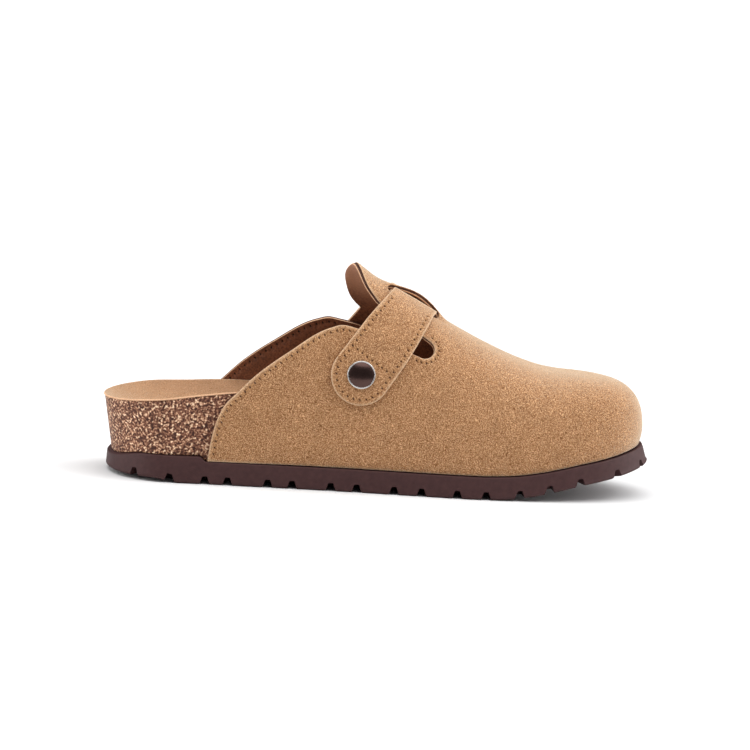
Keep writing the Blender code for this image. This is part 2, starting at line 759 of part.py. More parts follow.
def add_rivet(name, side, parts):
    """A capped rivet turned about the normal of the last, through the strap's tab and the quarter."""
    x, around = rivet_place(side)
    place = np.array([[x], [around]])
    foot = last_point(*place)[0]
    normal = last_normal(*place)[0]
    seat = CLEARANCE + STRAP_THICK + SEAT_GAP
    inside = -WALL - RIVET_BACK_GAP
    dome = [(out * RIVET_CAP_RADIUS, seat + up * RIVET_CAP_HEIGHT) for out, up in RIVET_DOME]
    profile = (  # radius, height above the last, from the cap down its outer side
        (0.0, seat + RIVET_CAP_HEIGHT),
        *dome,
        (RIVET_CAP_RADIUS, seat + RIVET_RIM_HEIGHT),
        (RIVET_CAP_RADIUS, seat),
        (RIVET_SHANK_RADIUS, seat),
        (RIVET_SHANK_RADIUS, inside),
        (RIVET_BACK_RADIUS, inside),
        (RIVET_BACK_RADIUS, inside - RIVET_BACK_THICK),
        (0.0, inside - RIVET_BACK_THICK),
    )
    mesh = bpy.data.meshes.new(name)
    corners = [(radius * MM, 0.0, height * MM) for radius, height in profile]
    mesh.from_pydata(corners, [(i, i + 1) for i in range(len(profile) - 1)], [])
    mesh.materials.append(finish("gunmetal"))
    rivet = bpy.data.objects.new(name, mesh)
    parts.objects.link(rivet)
    turn = rivet.modifiers.new("turned", "SCREW")
    turn.axis = "Z"
    turn.steps = turn.render_steps = ROUND_STEPS
    turn.use_merge_vertices = True
    turn.merge_threshold = TURN_WELD
    rivet.location = placed(foot)
    rivet.rotation_mode = "QUATERNION"
    rivet.rotation_quaternion = Vector(normal).to_track_quat("Z", "Y")
    return rivet


def new_collection(name):
    collection = bpy.data.collections.new(name)
    bpy.context.scene.collection.children.link(collection)
    return collection


def main():
    for thing in list(bpy.data.objects):
        bpy.data.objects.remove(thing)
    parts = new_collection("footbed_clog")
    cutters = new_collection("cutters")
    rays = spokes()
    add_outsole(rays, parts, cutters)
    add_footbed(rays, parts)
    add_insole(rays, parts)
    add_shell("upper", upper_loops(), UPPER_SPACING, upper_lift, WALL, parts)
    add_shell("strap", strap_loops(), STRAP_SPACING, strap_lift, STRAP_THICK, parts)
    add_rivet("rivet_inner", -1, parts)
    add_rivet("rivet_outer", 1, parts)


main()
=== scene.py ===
"""Looks of the footbed clog: suede upper and strap, cork footbed, insole, rivets and notched foam sole.

Sizes are in millimetres, in the coordinates of the last, and become metres where placed() makes them so.
+X is the toe, -Y the inner side of the foot and +Z up. The last is the same as in the solids: ribs that
run from the ridge line down to the feather line. Sheets are cut as flat patterns on it, by x and by the
distance round the rib from the ridge, which is negative on the inner side.
"""

import math

import bmesh
import bpy
import numpy as np
from mathutils import Matrix, Vector
from mathutils.geometry import delaunay_2d_cdt
from mathutils.kdtree import KDTree


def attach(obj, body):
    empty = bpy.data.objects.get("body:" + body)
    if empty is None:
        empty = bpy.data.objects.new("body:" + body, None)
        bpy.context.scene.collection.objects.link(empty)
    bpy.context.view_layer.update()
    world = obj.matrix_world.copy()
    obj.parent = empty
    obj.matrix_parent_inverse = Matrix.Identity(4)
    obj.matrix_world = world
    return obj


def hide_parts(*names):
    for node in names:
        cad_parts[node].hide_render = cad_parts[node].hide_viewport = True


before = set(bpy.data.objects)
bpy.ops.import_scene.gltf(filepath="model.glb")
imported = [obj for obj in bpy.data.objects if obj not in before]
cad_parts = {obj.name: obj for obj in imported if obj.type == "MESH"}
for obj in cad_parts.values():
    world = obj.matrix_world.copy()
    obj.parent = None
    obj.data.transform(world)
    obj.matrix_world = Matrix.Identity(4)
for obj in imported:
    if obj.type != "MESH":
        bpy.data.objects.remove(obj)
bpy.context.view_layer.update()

MM = 0.001
ORIGIN = (1.35, 2.0, 0.0)
BODY = "root"

# Plan of the outsole's top edge
HEEL_BACK_X = -124.5
HEEL_CENTRE_X = -96.0
BALL_X = 48.0
TOE_TIP_X = 126.9
HEEL_HALF_WIDTH = 33.0
BALL_INNER = 45.5
BALL_OUTER = 49.5
ARCH_HOLLOW = 2.2
ARCH_X = -8.0
ARCH_HALF_LENGTH = 62.0
TOE_ROUND = 2.25
HEEL_ROUND = 2.1
TOE_DRIFT = -5.0

# Ridge line of the last, and the two centres that its ribs fan out from
RIDGE_Y = -3.0
HEEL_FAN_X = -94.0
TOE_FAN_X = 88.0

# Outsole
SOLE_FLARE = 1.2
SOLE_TOE_FLARE = 1.6
SOLE_HEEL_FLARE = -1.0
SOLE_HEEL_TOP = 12.5
SOLE_FORE_TOP = 10.4
SOLE_STEP_X = (-84.2, -81.7)
SOLE_HEEL_DROP = 3.6
SOLE_HEEL_DROP_X = (-110.0, -127.0)
SOLE_TOE_THIN = 1.0
SOLE_TOE_THIN_X = (50.0, 105.0)
TOE_SPRING = (  # x, rise of the underside
    (48.0, 0.0),
    (62.0, 0.9),
    (76.0, 3.3),
    (92.0, 7.1),
    (108.0, 10.4),
    (121.0, 13.6),
    (130.0, 16.0),
)
HEEL_SPRING = 1.8
HEEL_SPRING_X = (-94.0, -106.0)
NOTCH_DEPTH = 3.8
NOTCH_MOUTH = 5.0
NOTCH_ROOF = 2.2
NOTCH_LENGTH = 13.0
NOTCH_OVERCUT = 4.0
NOTCH_ROUNDING = 0.3
NOTCH_PAIRS = 6
NOTCH_FIRST_PAIR_X = -76.4
NOTCH_PITCH = 29.6
NOTCH_HALF_GAP = 5.3
NOTCH_GAP_GROWTH = 0.35
NOTCH_TOE_ANGLES = (8.0, 37.0, 62.0)
NOTCH_HEEL_ANGLES = (7.6, 40.0)
HEEL_GROOVE_X = -122.0
HEEL_GROOVE_LENGTH = 35.0
HEEL_GROOVE_DEPTH = 2.2
TREAD_ROUNDING = 1.3
SOLE_LIP_ROUNDING = 0.6

# Last
WALL = 2.2
SEAT_GAP = 0.3
CLEARANCE = 0.4
UPPER_INSET = 0.3
TUCK = 1.4
TUCK_X = (-80.0, -30.0)
TUCK_HEIGHT = 9.0
CREST = (  # x, height of the ridge
    (-90.0, 143.0),
    (-12.0, 101.6),
    (10.0, 89.2),
    (32.0, 77.0),
    (52.0, 67.1),
    (67.0, 60.9),
    (80.0, 57.2),
    (88.0, 56.1),
)
CREST_TOE_SLOPE = -0.12
RIB_POWER = (  # x, superellipse power of the rib: 2 is an ellipse, more is squarer
    (-90.0, 1.9),
    (-20.0, 1.9),
    (20.0, 2.1),
    (50.0, 2.3),
    (88.0, 2.6),
)
TOE_POWER_RISE = 0.7
RIB_STEPS = 120

# Upper's pattern
TONGUE_END = (  # distance round from the ridge, x
    (-19.5, -4.3),
    (-14.5, -9.2),
    (-6.0, -12.5),
    (8.0, -14.6),
    (22.0, -15.6),
    (32.5, -11.0),
    (36.0, -6.0),
)
TONGUE_FLARE = 1.2
TONGUE_FLARE_X = (-3.0, -16.0)
TONGUE_FLARE_AROUND = (24.0, 36.0)
KEYHOLE_X = 17.8
KEYHOLE_Z = 67.5
KEYHOLE_RADIUS = 5.0
KEYHOLE_TILT = 0.25
QUARTER_EDGE = (  # x, height, from under the strap back over the corner and down to the sole
    (-15.0, 75.6),
    (-20.5, 76.6),
    (-26.0, 75.2),
    (-45.5, 63.3),
    (-61.7, 50.5),
    (-68.6, 43.3),
    (-74.0, 37.4),
    (-77.3, 30.4),
    (-79.6, 20.7),
    (-80.8, 8.0),
)
OUTER_QUARTER_DROP = 0.95

# Strap, rivets and the bridge of the tongue that the strap passes under
STRAP_AXIS = (  # x on the inner side, x on the outer side, height, half width
    (13.2, 13.9, 85.6, 11.3),
    (0.0, 5.2, 70.5, 13.5),
    (-11.7, -5.0, 54.2, 14.0),
)
STRAP_CROWN_X = 16.0
STRAP_CROWN_HALF_WIDTH = 11.0
STRAP_THICK = 2.0
STRAP_DIP = (4.4, 7.3)
SLIT_X = 13.7
SLIT_INNER = 4.0
SLIT_OUTER = 8.9
SLIT_HALF_LENGTH = 12.6
BRIDGE_X = 15.0
BRIDGE_RISE = 3.2
BRIDGE_TILT = 1.5
BRIDGE_HALF_LENGTH = 18.5
BRIDGE_GAP = 0.9
RIVET_CAP_RADIUS = 6.5
RIVET_DOME_RADIUS = 5.9
RIVET_CAP_HEIGHT = 2.2
RIVET_RIM_HEIGHT = 0.9
RIVET_SHANK_RADIUS = 2.0
RIVET_HOLE_RADIUS = 2.4
RIVET_BACK_RADIUS = 4.6
RIVET_BACK_THICK = 0.8
RIVET_BACK_ROUNDING = 0.3
RIVET_BACK_CHAMFER = 0.4
RIVET_DOME_POWER = 2.2
RIVET_DOME_FOOT = 0.1
RIVET_RIM_ROLL = 0.12
RIVET_RIM_LIFT = 0.08
RIVET_SEAT_GAP = 0.02
RIVET_LINING_GAP = 0.1

# Layers of the sheets, from the outer face inwards, and their pale marks: edges pale from wear and painted
# highlight, and painted light
SUEDE_THICK = 1.2
STRAP_SUEDE_THICK = 1.1
LAYER_GAP = 0.04
SOFT_EDGE = 0.4
LINING_SOFT_EDGE = 0.25
INNER_ROUNDING = 0.5 * LINING_SOFT_EDGE
# Pale border along the outline: partly wear, partly a painted highlight of the lit edge.
RUBBED_AND_HIGHLIT_BORDER = (0.05, 0.5)
TONGUE_TRIM = 0.9
# Painted highlight along the lines where the strap bends down into the slits.
STRAP_BEND = 7.0
STRAP_BEND_WIDTH = 0.45
# Painted light: the tongue's lining is paler near the ridge.
TONGUE_TOP_LIGHT = (20.0, 36.0)

# Sewing
QUARTER_STITCH_PITCH = 3.1
QUARTER_STITCH_INSET = 2.2
KEYHOLE_STITCH_PITCH = 2.5
STRAP_STITCH_PITCH = 3.0
STRAP_STITCH_INSET = 2.5
STRAP_STITCH_FROM = 15.5
CROSS_SEAM_FROM_RIVET = 8.8
CROSS_SEAM_POINTS = 9
THREAD_RADIUS = 0.2
THREAD_RISE = 0.06
THREAD_DIVE = 0.45
THREAD_BOW = 0.6
THREAD_SPAN = (0.2, 0.8)
PIT_FLOOR = 0.3
PIT_BRIM = 0.6
PIT_DEPTH = 0.55
SEAM_DEPTH = 0.16
SEAM_WIDTH = 0.9

# Footbed and insole: heights of the finished top, where the foot rests
RIM_HEIGHT = (  # x, inner rim, outer rim
    (-130.0, 35.2, 35.2),
    (-110.0, 38.1, 37.4),
    (-87.0, 40.9, 39.4),
    (-68.6, 43.3, 40.3),
    (-40.0, 44.5, 39.0),
    (-10.0, 39.0, 34.0),
    (25.0, 30.0, 28.5),
    (60.0, 25.5, 25.5),
    (90.0, 27.5, 27.5),
    (126.0, 33.0, 33.0),
)
BED_HEIGHT = (  # x, middle of the bed
    (-94.0, 25.0),
    (-60.0, 25.5),
    (-30.0, 29.0),
    (0.0, 27.0),
    (40.0, 21.5),
    (60.0, 20.5),
    (88.0, 23.0),
)
RIM_BLEND = 0.6
CUP_POWER = 2.8
CORK_INSET = 1.5
CORK_LEAN_BACK = 4.2
CORK_LEAN_SIDE = 1.0
CORK_UNDER_UPPER_X = (-104.0, -84.0)
INSOLE_THICK = 0.8
INSOLE_LIP = 0.35
INSOLE_CORK_GAP = 0.05
CORK_SHOWS_TO_X = -72.0

# Fineness of the meshes: lengths in millimetres, and counts
UPPER_SPACING = 0.95
LINING_SPACING = 2.0
STRAP_SPACING = 0.8
STRAP_AXIS_STEP = 2.0
QUARTER_PATH_STEP = 2.0
SEAM_PATH_STEP = 0.5
ARC_STEP = 0.9
NORMAL_STEP = 0.6
SQUARE_STEP = 0.5
BED_FINE_STEP = 0.7
BED_COARSE_STEP = 4.0
FEATHER_FAN_STEPS = 120
ARC_LEAST_STEPS = 7
PIT_STEPS = 8
THREAD_SIDES = 7
THREAD_STATIONS = 7
SOLE_FAN_STEPS = 60
SOLE_STATIONS = 120
BED_FAN_STEPS = 70
CORK_LEVELS = 40
ROUNDING_STEPS = 5
LIP_STEPS = 7
RIVET_STEPS = 64
DOME_SHARES = (0.12, 1.0, 12)
RIM_STEPS = 17
CHUNK = 4000

# Rings of the solid pieces, as shares of the way out from the ridge line, or of the way down a side
SOLE_TOP_RINGS = (0.0, 0.3, 0.5, 0.65, 0.78, 0.9)
SOLE_SIDE_RINGS = (0.2, 0.4, 0.6, 0.8)
SOLE_BOTTOM_RINGS = (0.9, 0.75, 0.5, 0.0)
CORK_TOP_RINGS = (0.0, 0.4, 0.7, 0.9, 0.97, 1.0)
CORK_BASE_RINGS = (0.66, 0.33, 0.0)
INSOLE_TOP_RINGS = (0.0, 0.15, 0.3, 0.45, 0.58, 0.7, 0.78, 0.85, 0.9, 0.94, 0.97, 0.985)
INSOLE_BOTTOM_RINGS = (0.9, 0.6, 0.3, 0.0)

# Spaces kept free in a sheet's mesh, as shares of the grid's spacing and of the soft edge
GRID_CLEARANCE = 0.6
SOFT_RING = 0.6
RING_CLEARANCE = 0.8

# Angles in degrees past which an edge is drawn sharp
SHEET_SHARP = 62.0
SOLE_SHARP = 35.0
RIVET_SHARP = 40.0

# Limits of the searches, and distances that count as nothing
FARTHEST = 150.0
HALVINGS = 36
TINY = 1e-9
PATTERN_WELD = 1e-5
WELD = 1e-6
SLIVER = 1e-7

# Sockets of a mix node that mixes colours
MIX_SHARE = 0
MIX_FIRST = 6
MIX_SECOND = 7
MIX_RESULT = 2

# Studio: floor and camera's sight in metres, and the camera at the photo's angle, rolled, with a long lens
FLOOR_SIZE = 14.0
CAMERA_SIGHT = 100.0
CAMERA_AZIMUTH = -7.5
CAMERA_ELEVATION = 8.3
CAMERA_ROLL = 3.6
CAMERA_TARGET = (-0.74, 0.0, 49.75)
CAMERA_DISTANCE = 3000.0
FRAME_WIDTH = 352.1
SENSOR_WIDTH = 36.0


def smooth(value, start, end):
    """0 up to start, 1 from end on, and an S-shaped rise between."""
    t = np.clip((value - start) / (end - start), 0.0, 1.0)
    return t * t * (3.0 - 2.0 * t)


def curve(x, rows, column=1):
    """A smooth curve through the rows of a table, level past its ends."""
    knots = np.array([row[0] for row in rows])
    values = np.array([row[column] for row in rows])
    slopes = np.gradient(values, knots)
    x = np.clip(x, knots[0], knots[-1])
    i = np.clip(np.searchsorted(knots, x) - 1, 0, len(knots) - 2)
    span = knots[i + 1] - knots[i]
    t = (x - knots[i]) / span
    rise = values[i + 1] - values[i]
    bend_in = slopes[i] * span - rise
    bend_out = rise - slopes[i + 1] * span
    return values[i] + t * rise + t * (1 - t) * ((1 - t) * bend_in + t * bend_out)


def full_turn(count):
    """Angles that share out a full turn evenly."""
    return np.linspace(0, 2 * math.pi, count, endpoint=False)


def run_along(points):
    """Distance along a row of points, from the first to each."""
    steps = np.linalg.norm(np.diff(points, axis=0), axis=1)
    return np.concatenate([[0], np.cumsum(steps)])


# Plan and sole heights


def centre_line(x):
    """Sideways drift of the outline towards the big toe."""
    return TOE_DRIFT * np.clip((x - BALL_X) / (TOE_TIP_X - BALL_X), 0, 1) ** 2


def half_width(x, side):
    """Half width of the outsole's top edge on the inner (side < 0) or outer side."""
    ball = np.where(side < 0, BALL_INNER, BALL_OUTER)
    width = HEEL_HALF_WIDTH + (ball - HEEL_HALF_WIDTH) * smooth(x, HEEL_CENTRE_X, BALL_X)
    hollow = np.clip(1 - ((x - ARCH_X) / ARCH_HALF_LENGTH) ** 2, 0, 1) ** 2
    width = width - np.where(side < 0, ARCH_HOLLOW, 0.0) * hollow
    toe = np.clip((x - BALL_X) / (TOE_TIP_X - BALL_X), 0, 1)
    heel = np.clip((HEEL_CENTRE_X - x) / (HEEL_CENTRE_X - HEEL_BACK_X), 0, 1)
    toe_round = (1 - toe**TOE_ROUND) ** (1 / TOE_ROUND)
    heel_round = (1 - heel**HEEL_ROUND) ** (1 / HEEL_ROUND)
    return width * toe_round * heel_round


def reach(start_x, along, across):
    """Distance from the ridge line to the outline, in the plan direction (along, across)."""
    near = np.zeros_like(start_x)
    far = np.full_like(start_x, FARTHEST)
    for _ in range(HALVINGS):
        middle = (near + far) / 2
        x = start_x + middle * along
        y = RIDGE_Y + middle * across - centre_line(x)
        inside = np.abs(y) < half_width(x, y)
        near = np.where(inside, middle, near)
        far = np.where(inside, far, middle)
    return near


def sole_flare(along):
    """How far the tread stands out past the sole's top edge."""
    toe = SOLE_TOE_FLARE * np.maximum(along, 0.0) ** 2
    heel = SOLE_HEEL_FLARE * np.maximum(-along, 0.0) ** 2
    return SOLE_FLARE + toe + heel


def sole_bottom(x):
    """Height of the tread: level, with the toe's and the heel's spring."""
    return curve(x, TOE_SPRING) + HEEL_SPRING * smooth(x, *HEEL_SPRING_X)


def sole_top(x):
    """Height of the sole's top, with the step where the upper begins and the drop at the heel."""
    step = SOLE_HEEL_TOP + (SOLE_FORE_TOP - SOLE_HEEL_TOP) * smooth(x, *SOLE_STEP_X)
    drop = SOLE_HEEL_DROP * smooth(x, *SOLE_HEEL_DROP_X) + SOLE_TOE_THIN * smooth(x, *SOLE_TOE_THIN_X)
    return curve(x, TOE_SPRING) + step - drop


# The last


def rib_of(x, around):
    """Where a pattern point's rib starts, the plan direction of the rib, and the distance down it."""
    start_x = np.clip(x, HEEL_FAN_X, TOE_FAN_X)
    down = np.hypot(x - start_x, around)
    safe = np.maximum(down, TINY)
    along = np.where(down > TINY, (x - start_x) / safe, 0.0)
    across = np.where(down > TINY, around / safe, 1.0)
    return start_x, along, across, down


def rib_profile(start_x, along, across):
    """Distances out, heights and girths down each rib, from the ridge to the feather line."""
    out = reach(start_x, along, across)
    edge_x = start_x + out * along
    low = sole_top(edge_x) + SEAT_GAP
    deep = TUCK * smooth(edge_x, *TUCK_X)
    out = out - UPPER_INSET
    high = curve(start_x, CREST)
    power = curve(start_x, RIB_POWER) + TOE_POWER_RISE * np.maximum(along, 0.0)
    turn = np.linspace(0.0, math.pi / 2, RIB_STEPS)[None, :]
    out, low, high, power = out[:, None], low[:, None], high[:, None], power[:, None]
    height = low + (high - low) * np.cos(turn) ** (2 / power)
    tuck = deep[:, None] * np.clip(1 - (height - low) / TUCK_HEIGHT, 0, 1) ** 2
    distance = out * np.sin(turn) ** (2 / power) - tuck
    fade = np.clip(1 - distance / out, 0, 1) ** 2
    height = height + CREST_TOE_SLOPE * distance * along[:, None] * fade
    steps = np.hypot(np.diff(distance, axis=1), np.diff(height, axis=1))
    girth = np.concatenate([np.zeros((len(steps), 1)), np.cumsum(steps, axis=1)], axis=1)
    return distance, height, girth


def last_chunk(x, around):
    """Points of the upper's outer face for some pattern points at once."""
    start_x, along, across, down = rib_of(x, around)
    distance, height, girth = rib_profile(start_x, along, across)
    row = np.arange(len(down))
    i = np.clip((girth < down[:, None]).sum(axis=1), 1, RIB_STEPS - 1)
    t = np.clip((down - girth[row, i - 1]) / (girth[row, i] - girth[row, i - 1]), 0, 1)
    out = distance[row, i - 1] * (1 - t) + distance[row, i] * t
    z = height[row, i - 1] * (1 - t) + height[row, i] * t
    return np.stack([start_x + along * out, RIDGE_Y + across * out, z], axis=1)


def last_point(x, around):
    """Points of the upper's outer face for pattern points, worked out a chunk at a time."""
    starts = range(0, len(x), CHUNK)
    return np.concatenate([last_chunk(x[i : i + CHUNK], around[i : i + CHUNK]) for i in starts])


def last_moves(x, around, step):
    """How the last's points move over two steps of x, and over two steps round the rib."""
    ahead = last_point(x + step, around) - last_point(x - step, around)
    round_rib = last_point(x, around + step) - last_point(x, around - step)
    return ahead, round_rib


def last_normal(x, around):
    """Directions that point straight out of the last."""
    normal = np.cross(*last_moves(x, around, NORMAL_STEP))
    return normal / np.linalg.norm(normal, axis=1)[:, None]


def lifted(x, around, lift):
    """Points that stand lift above the last, along its normal."""
    return last_point(x, around) + last_normal(x, around) * np.asarray(lift)[:, None]


def girth_at(x, z, side):
    """Distance round from the ridge to height z, on the rib at x."""
    start = np.array([float(x)])
    _, height, girth = rib_profile(start, np.zeros(1), np.array([float(side)]))
    return float(np.interp(z, height[0, ::-1], girth[0, ::-1]))


def feather_girth(start_x, angle, side):
    """Full length of a rib; angle 0 stands square to X and 90 degrees points straight ahead."""
    _, _, girth = rib_profile(
        np.array([float(start_x)]), np.array([math.sin(angle)]), np.array([side * math.cos(angle)])
    )
    return float(girth[0, -1])


def wall_reach(start_x, along, across, z):
    """Distance out to the upper's outer face at height z, for each rib."""
    distance, height, _ = rib_profile(start_x, along, across)
    rows = zip(np.broadcast_to(z, start_x.shape), height, distance)
    return np.array([np.interp(level, h[::-1], d[::-1]) for level, h, d in rows])


# Flat patterns


def square_to(centre, ahead):
    """Pattern steps that come out 1 mm ahead, and 1 mm to the left of that, once laid on the last."""
    x, around = np.array([[centre[0]], [centre[1]]], float)
    both = np.concatenate(last_moves(x, around, SQUARE_STEP)) / (2 * SQUARE_STEP)
    metric = both @ both.T
    ahead = np.array(ahead, float)
    ahead = ahead / math.sqrt(ahead @ metric @ ahead)
    level = metric @ ahead
    left = np.array([-level[1], level[0]])
    return ahead, left / math.sqrt(left @ metric @ left)


def arc(centre, ahead, radius, start, end):
    """Pattern points that lie on a true arc once laid on the last. Angle 0 is ahead."""
    forward, left = square_to(centre, ahead)
    steps = max(ARC_LEAST_STEPS, int(abs(math.radians(end - start)) * radius / ARC_STEP) + 2)
    angles = np.radians(np.linspace(start, end, steps))[:, None]
    points = np.array(centre) + radius * (np.cos(angles) * forward + np.sin(angles) * left)
    return [tuple(point) for point in points]


def spaced(points, spacing):
    """A smooth open curve through the points, as evenly spaced points with both ends."""
    points = np.array(points, float)
    run = run_along(points)
    count = max(2, int(round(run[-1] / spacing)) + 1)
    at = np.linspace(0, run[-1], count)
    columns = [curve(at, list(zip(run, column))) for column in points.T]
    return list(zip(*columns))


def inset_path(path, inset):
    """A pattern path moved sideways on the last, to the left of its own way when inset is positive."""
    path = np.array(path)
    way = np.gradient(path, axis=0)
    return np.array([p + inset * square_to(p, w)[1] for p, w in zip(path, way)])


def inside_loops(points, loops):
    """True for points inside the first loop and outside the others."""
    inside = np.zeros(len(points), bool)
    for loop in loops:
        start = np.array(loop)
        end = np.roll(start, -1, axis=0)
        for (x0, y0), (x1, y1) in zip(start, end):
            if y0 == y1:
                continue
            crosses = (points[:, 1] < y0) != (points[:, 1] < y1)
            cut_x = x0 + (points[:, 1] - y0) / (y1 - y0) * (x1 - x0)
            inside ^= crosses & (points[:, 0] < cut_x)
    return inside


def nearest(points, targets):
    """Distance from each point to the nearest target."""
    tree = KDTree(len(targets))
    for i, target in enumerate(targets):
        tree.insert((target[0], target[1], 0.0), i)
    tree.balance()
    return np.array([tree.find((x, y, 0.0))[2] for x, y in points])


def edge_ring(loops, inset):
    """Points just inside the border, which give a sheet its soft edge."""
    ring_points = []
    for loop in loops:
        loop = np.array(loop)
        way = np.roll(loop, -1, axis=0) - np.roll(loop, 1, axis=0)
        way = way / np.linalg.norm(way, axis=1)[:, None]
        side = np.stack([-way[:, 1], way[:, 0]], axis=1) * inset
        ring_points += [loop + side, loop - side]
    ring_points = np.concatenate(ring_points)
    border = np.concatenate([np.array(loop) for loop in loops])
    clear = nearest(ring_points, border) > RING_CLEARANCE * inset
    return ring_points[clear & inside_loops(ring_points, loops)]


def pit_points(pits):
    """The middle of each needle pit, a ring at its floor and a ring at its brim."""
    angles = full_turn(PIT_STEPS)
    circle_steps = np.stack([np.cos(angles), np.sin(angles)], axis=1)
    steps = np.concatenate([PIT_FLOOR * circle_steps, PIT_BRIM * circle_steps])
    return np.concatenate([pits, *[pits + step for step in steps]])


def patch(loops, spacing, soft_edge, pits):
    """Even triangles over the first loop less the other loops, as pattern points and faces."""
    border = np.array([point for loop in loops for point in loop])
    fixed = [border, edge_ring(loops, SOFT_RING * soft_edge)]
    if len(pits):
        fixed.append(pit_points(pits))
    fixed = np.concatenate(fixed)
    low, high = border.min(axis=0), border.max(axis=0)
    row_step = spacing * math.sqrt(3) / 2
    columns = np.arange(low[0], high[0], spacing)
    rows = np.arange(low[1], high[1], row_step)
    grid = []
    for i, y in enumerate(rows):
        shifted = columns + spacing / 2 * (i % 2)
        grid.append(np.stack([shifted, np.full_like(columns, y)], axis=1))
    grid = np.concatenate(grid)
    grid = grid[inside_loops(grid, loops)]
    grid = grid[nearest(grid, fixed) > GRID_CLEARANCE * spacing]
    edges = []
    first = 0
    for loop in loops:
        count = len(loop)
        edges += [(first + i, first + (i + 1) % count) for i in range(count)]
        first += count
    corners = [Vector(point) for point in np.concatenate([fixed, grid])]
    points, _, faces, *_ = delaunay_2d_cdt(corners, edges, [], 0, PATTERN_WELD)
    points = np.array([tuple(point) for point in points])
    faces = np.array([tuple(face) for face in faces])
    kept = inside_loops(points[faces].mean(axis=1), loops)
    return points, faces[kept]


def circle(centre, radius):
    """Pattern points of a closed round hole."""
    return arc(centre, (1.0, 0.0), radius, 0.0, 360.0)[:-1]


def keyhole_arc(side):
    """The round end of the slot between tongue and quarter."""
    hole = (KEYHOLE_X, side * girth_at(KEYHOLE_X, KEYHOLE_Z, side))
    mouth = (1.0, side * KEYHOLE_TILT)
    return arc(hole, mouth, KEYHOLE_RADIUS, -90 * side, 90 * side)


def quarter_points(side):
    """Pattern points of the quarter's edge, which is a little lower on the outer side."""
    drop = 1.0 if side < 0 else OUTER_QUARTER_DROP
    return [(x, side * girth_at(x, z * drop, side)) for x, z in QUARTER_EDGE]


def upper_half(side, spacing, trim):
    """Half of the upper's outline, from the tongue's end round the quarter to the front of the toe."""
    corner_around, corner_x = TONGUE_END[0] if side < 0 else TONGUE_END[-1]
    keyhole = keyhole_arc(side)
    tongue_side = spaced([(corner_x + trim, corner_around), keyhole[0]], spacing)
    quarter = spaced([keyhole[-1]] + quarter_points(side), spacing)
    rear_x = QUARTER_EDGE[-1][0]
    stations = np.linspace(rear_x, TOE_FAN_X, int((TOE_FAN_X - rear_x) / spacing))
    feather = [(x, side * feather_girth(x, 0.0, side)) for x in stations[1:]]
    for angle in np.linspace(0, math.pi / 2, FEATHER_FAN_STEPS)[1:-1]:
        length = feather_girth(TOE_FAN_X, angle, side)
        feather.append((TOE_FAN_X + length * math.sin(angle), side * length * math.cos(angle)))
    return tongue_side + keyhole[1:-1] + quarter + feather


def bridge_rise(x, around):
    """Height of the bridge of the tongue over the strap, which is highest along the inner slit."""
    from_middle = (x - BRIDGE_X) / BRIDGE_HALF_LENGTH
    hump = np.clip(1 - from_middle**2, 0, 1) ** 2
    return hump * (BRIDGE_RISE - BRIDGE_TILT * np.clip(around / SLIT_INNER, -1, 1))


def upper_lift(x, around):
    """Height of the suede over the last: the bridge, and the flare at the tongue's end."""
    bridge = bridge_rise(x, around) * (1 - smooth(np.abs(around), SLIT_INNER, SLIT_OUTER))
    near_ridge = 1 - smooth(np.abs(around), *TONGUE_FLARE_AROUND)
    return bridge + TONGUE_FLARE * smooth(x, *TONGUE_FLARE_X) * near_ridge


def slit(side, spacing):
    """A round-ended slit in the tongue for the strap."""
    radius = (SLIT_OUTER - SLIT_INNER) / 2
    middle = side * (SLIT_INNER + SLIT_OUTER) / 2
    straight = SLIT_HALF_LENGTH - radius
    front = arc((SLIT_X + straight, middle), (1.0, 0.0), radius, -90, 90)
    back = arc((SLIT_X - straight, middle), (1.0, 0.0), radius, 90, 270)
    top = spaced([front[-1], back[0]], spacing)[1:-1]
    bottom = spaced([back[-1], front[0]], spacing)[1:-1]
    return front + top + back + bottom


def strap_half(side):
    """Pattern points of half the strap's axis, from the ridge to the rivet, with the half width at each."""
    axis = [(STRAP_CROWN_X, 0.0, STRAP_CROWN_HALF_WIDTH)]
    for inner_x, outer_x, z, half in STRAP_AXIS:
        x = inner_x if side < 0 else outer_x
        axis.append((x, side * girth_at(x, z, side), half))
    return axis


def rivet_place(side):
    """Pattern point of the rivet, at the end of the strap's axis."""
    x, around, _ = strap_half(side)[-1]
    return x, around


def rivet_holes():
    """Pattern points of the two holes for the rivets' shanks."""
    return [circle(rivet_place(side), RIVET_HOLE_RADIUS) for side in (-1, 1)]


def upper_loops(spacing, trim=0.0):
    """The upper's outline, cut back by trim at the tongue's end, and its holes."""
    tongue_end = spaced([(x + trim, around) for around, x in TONGUE_END[::-1]], spacing)[1:-1]
    front = (TOE_FAN_X + feather_girth(TOE_FAN_X, math.pi / 2, 1), 0.0)
    outline = upper_half(-1, spacing, trim) + [front] + upper_half(1, spacing, trim)[::-1] + tongue_end
    return [outline, slit(-1, spacing), slit(1, spacing)] + rivet_holes()


def strap_axis():
    """Pattern points along the strap's middle, from inner to outer rivet, with ways and half widths."""
    rows = np.array(strap_half(-1)[::-1] + strap_half(1)[1:])
    run = run_along(rows[:, :2])
    at = np.linspace(0, run[-1], int(run[-1] / STRAP_AXIS_STEP))
    x, around, half = [curve(at, list(zip(run, column))) for column in rows.T]
    ahead = np.stack([np.gradient(x, at), np.gradient(around, at)], axis=1)
    return np.stack([x, around], axis=1), ahead, half


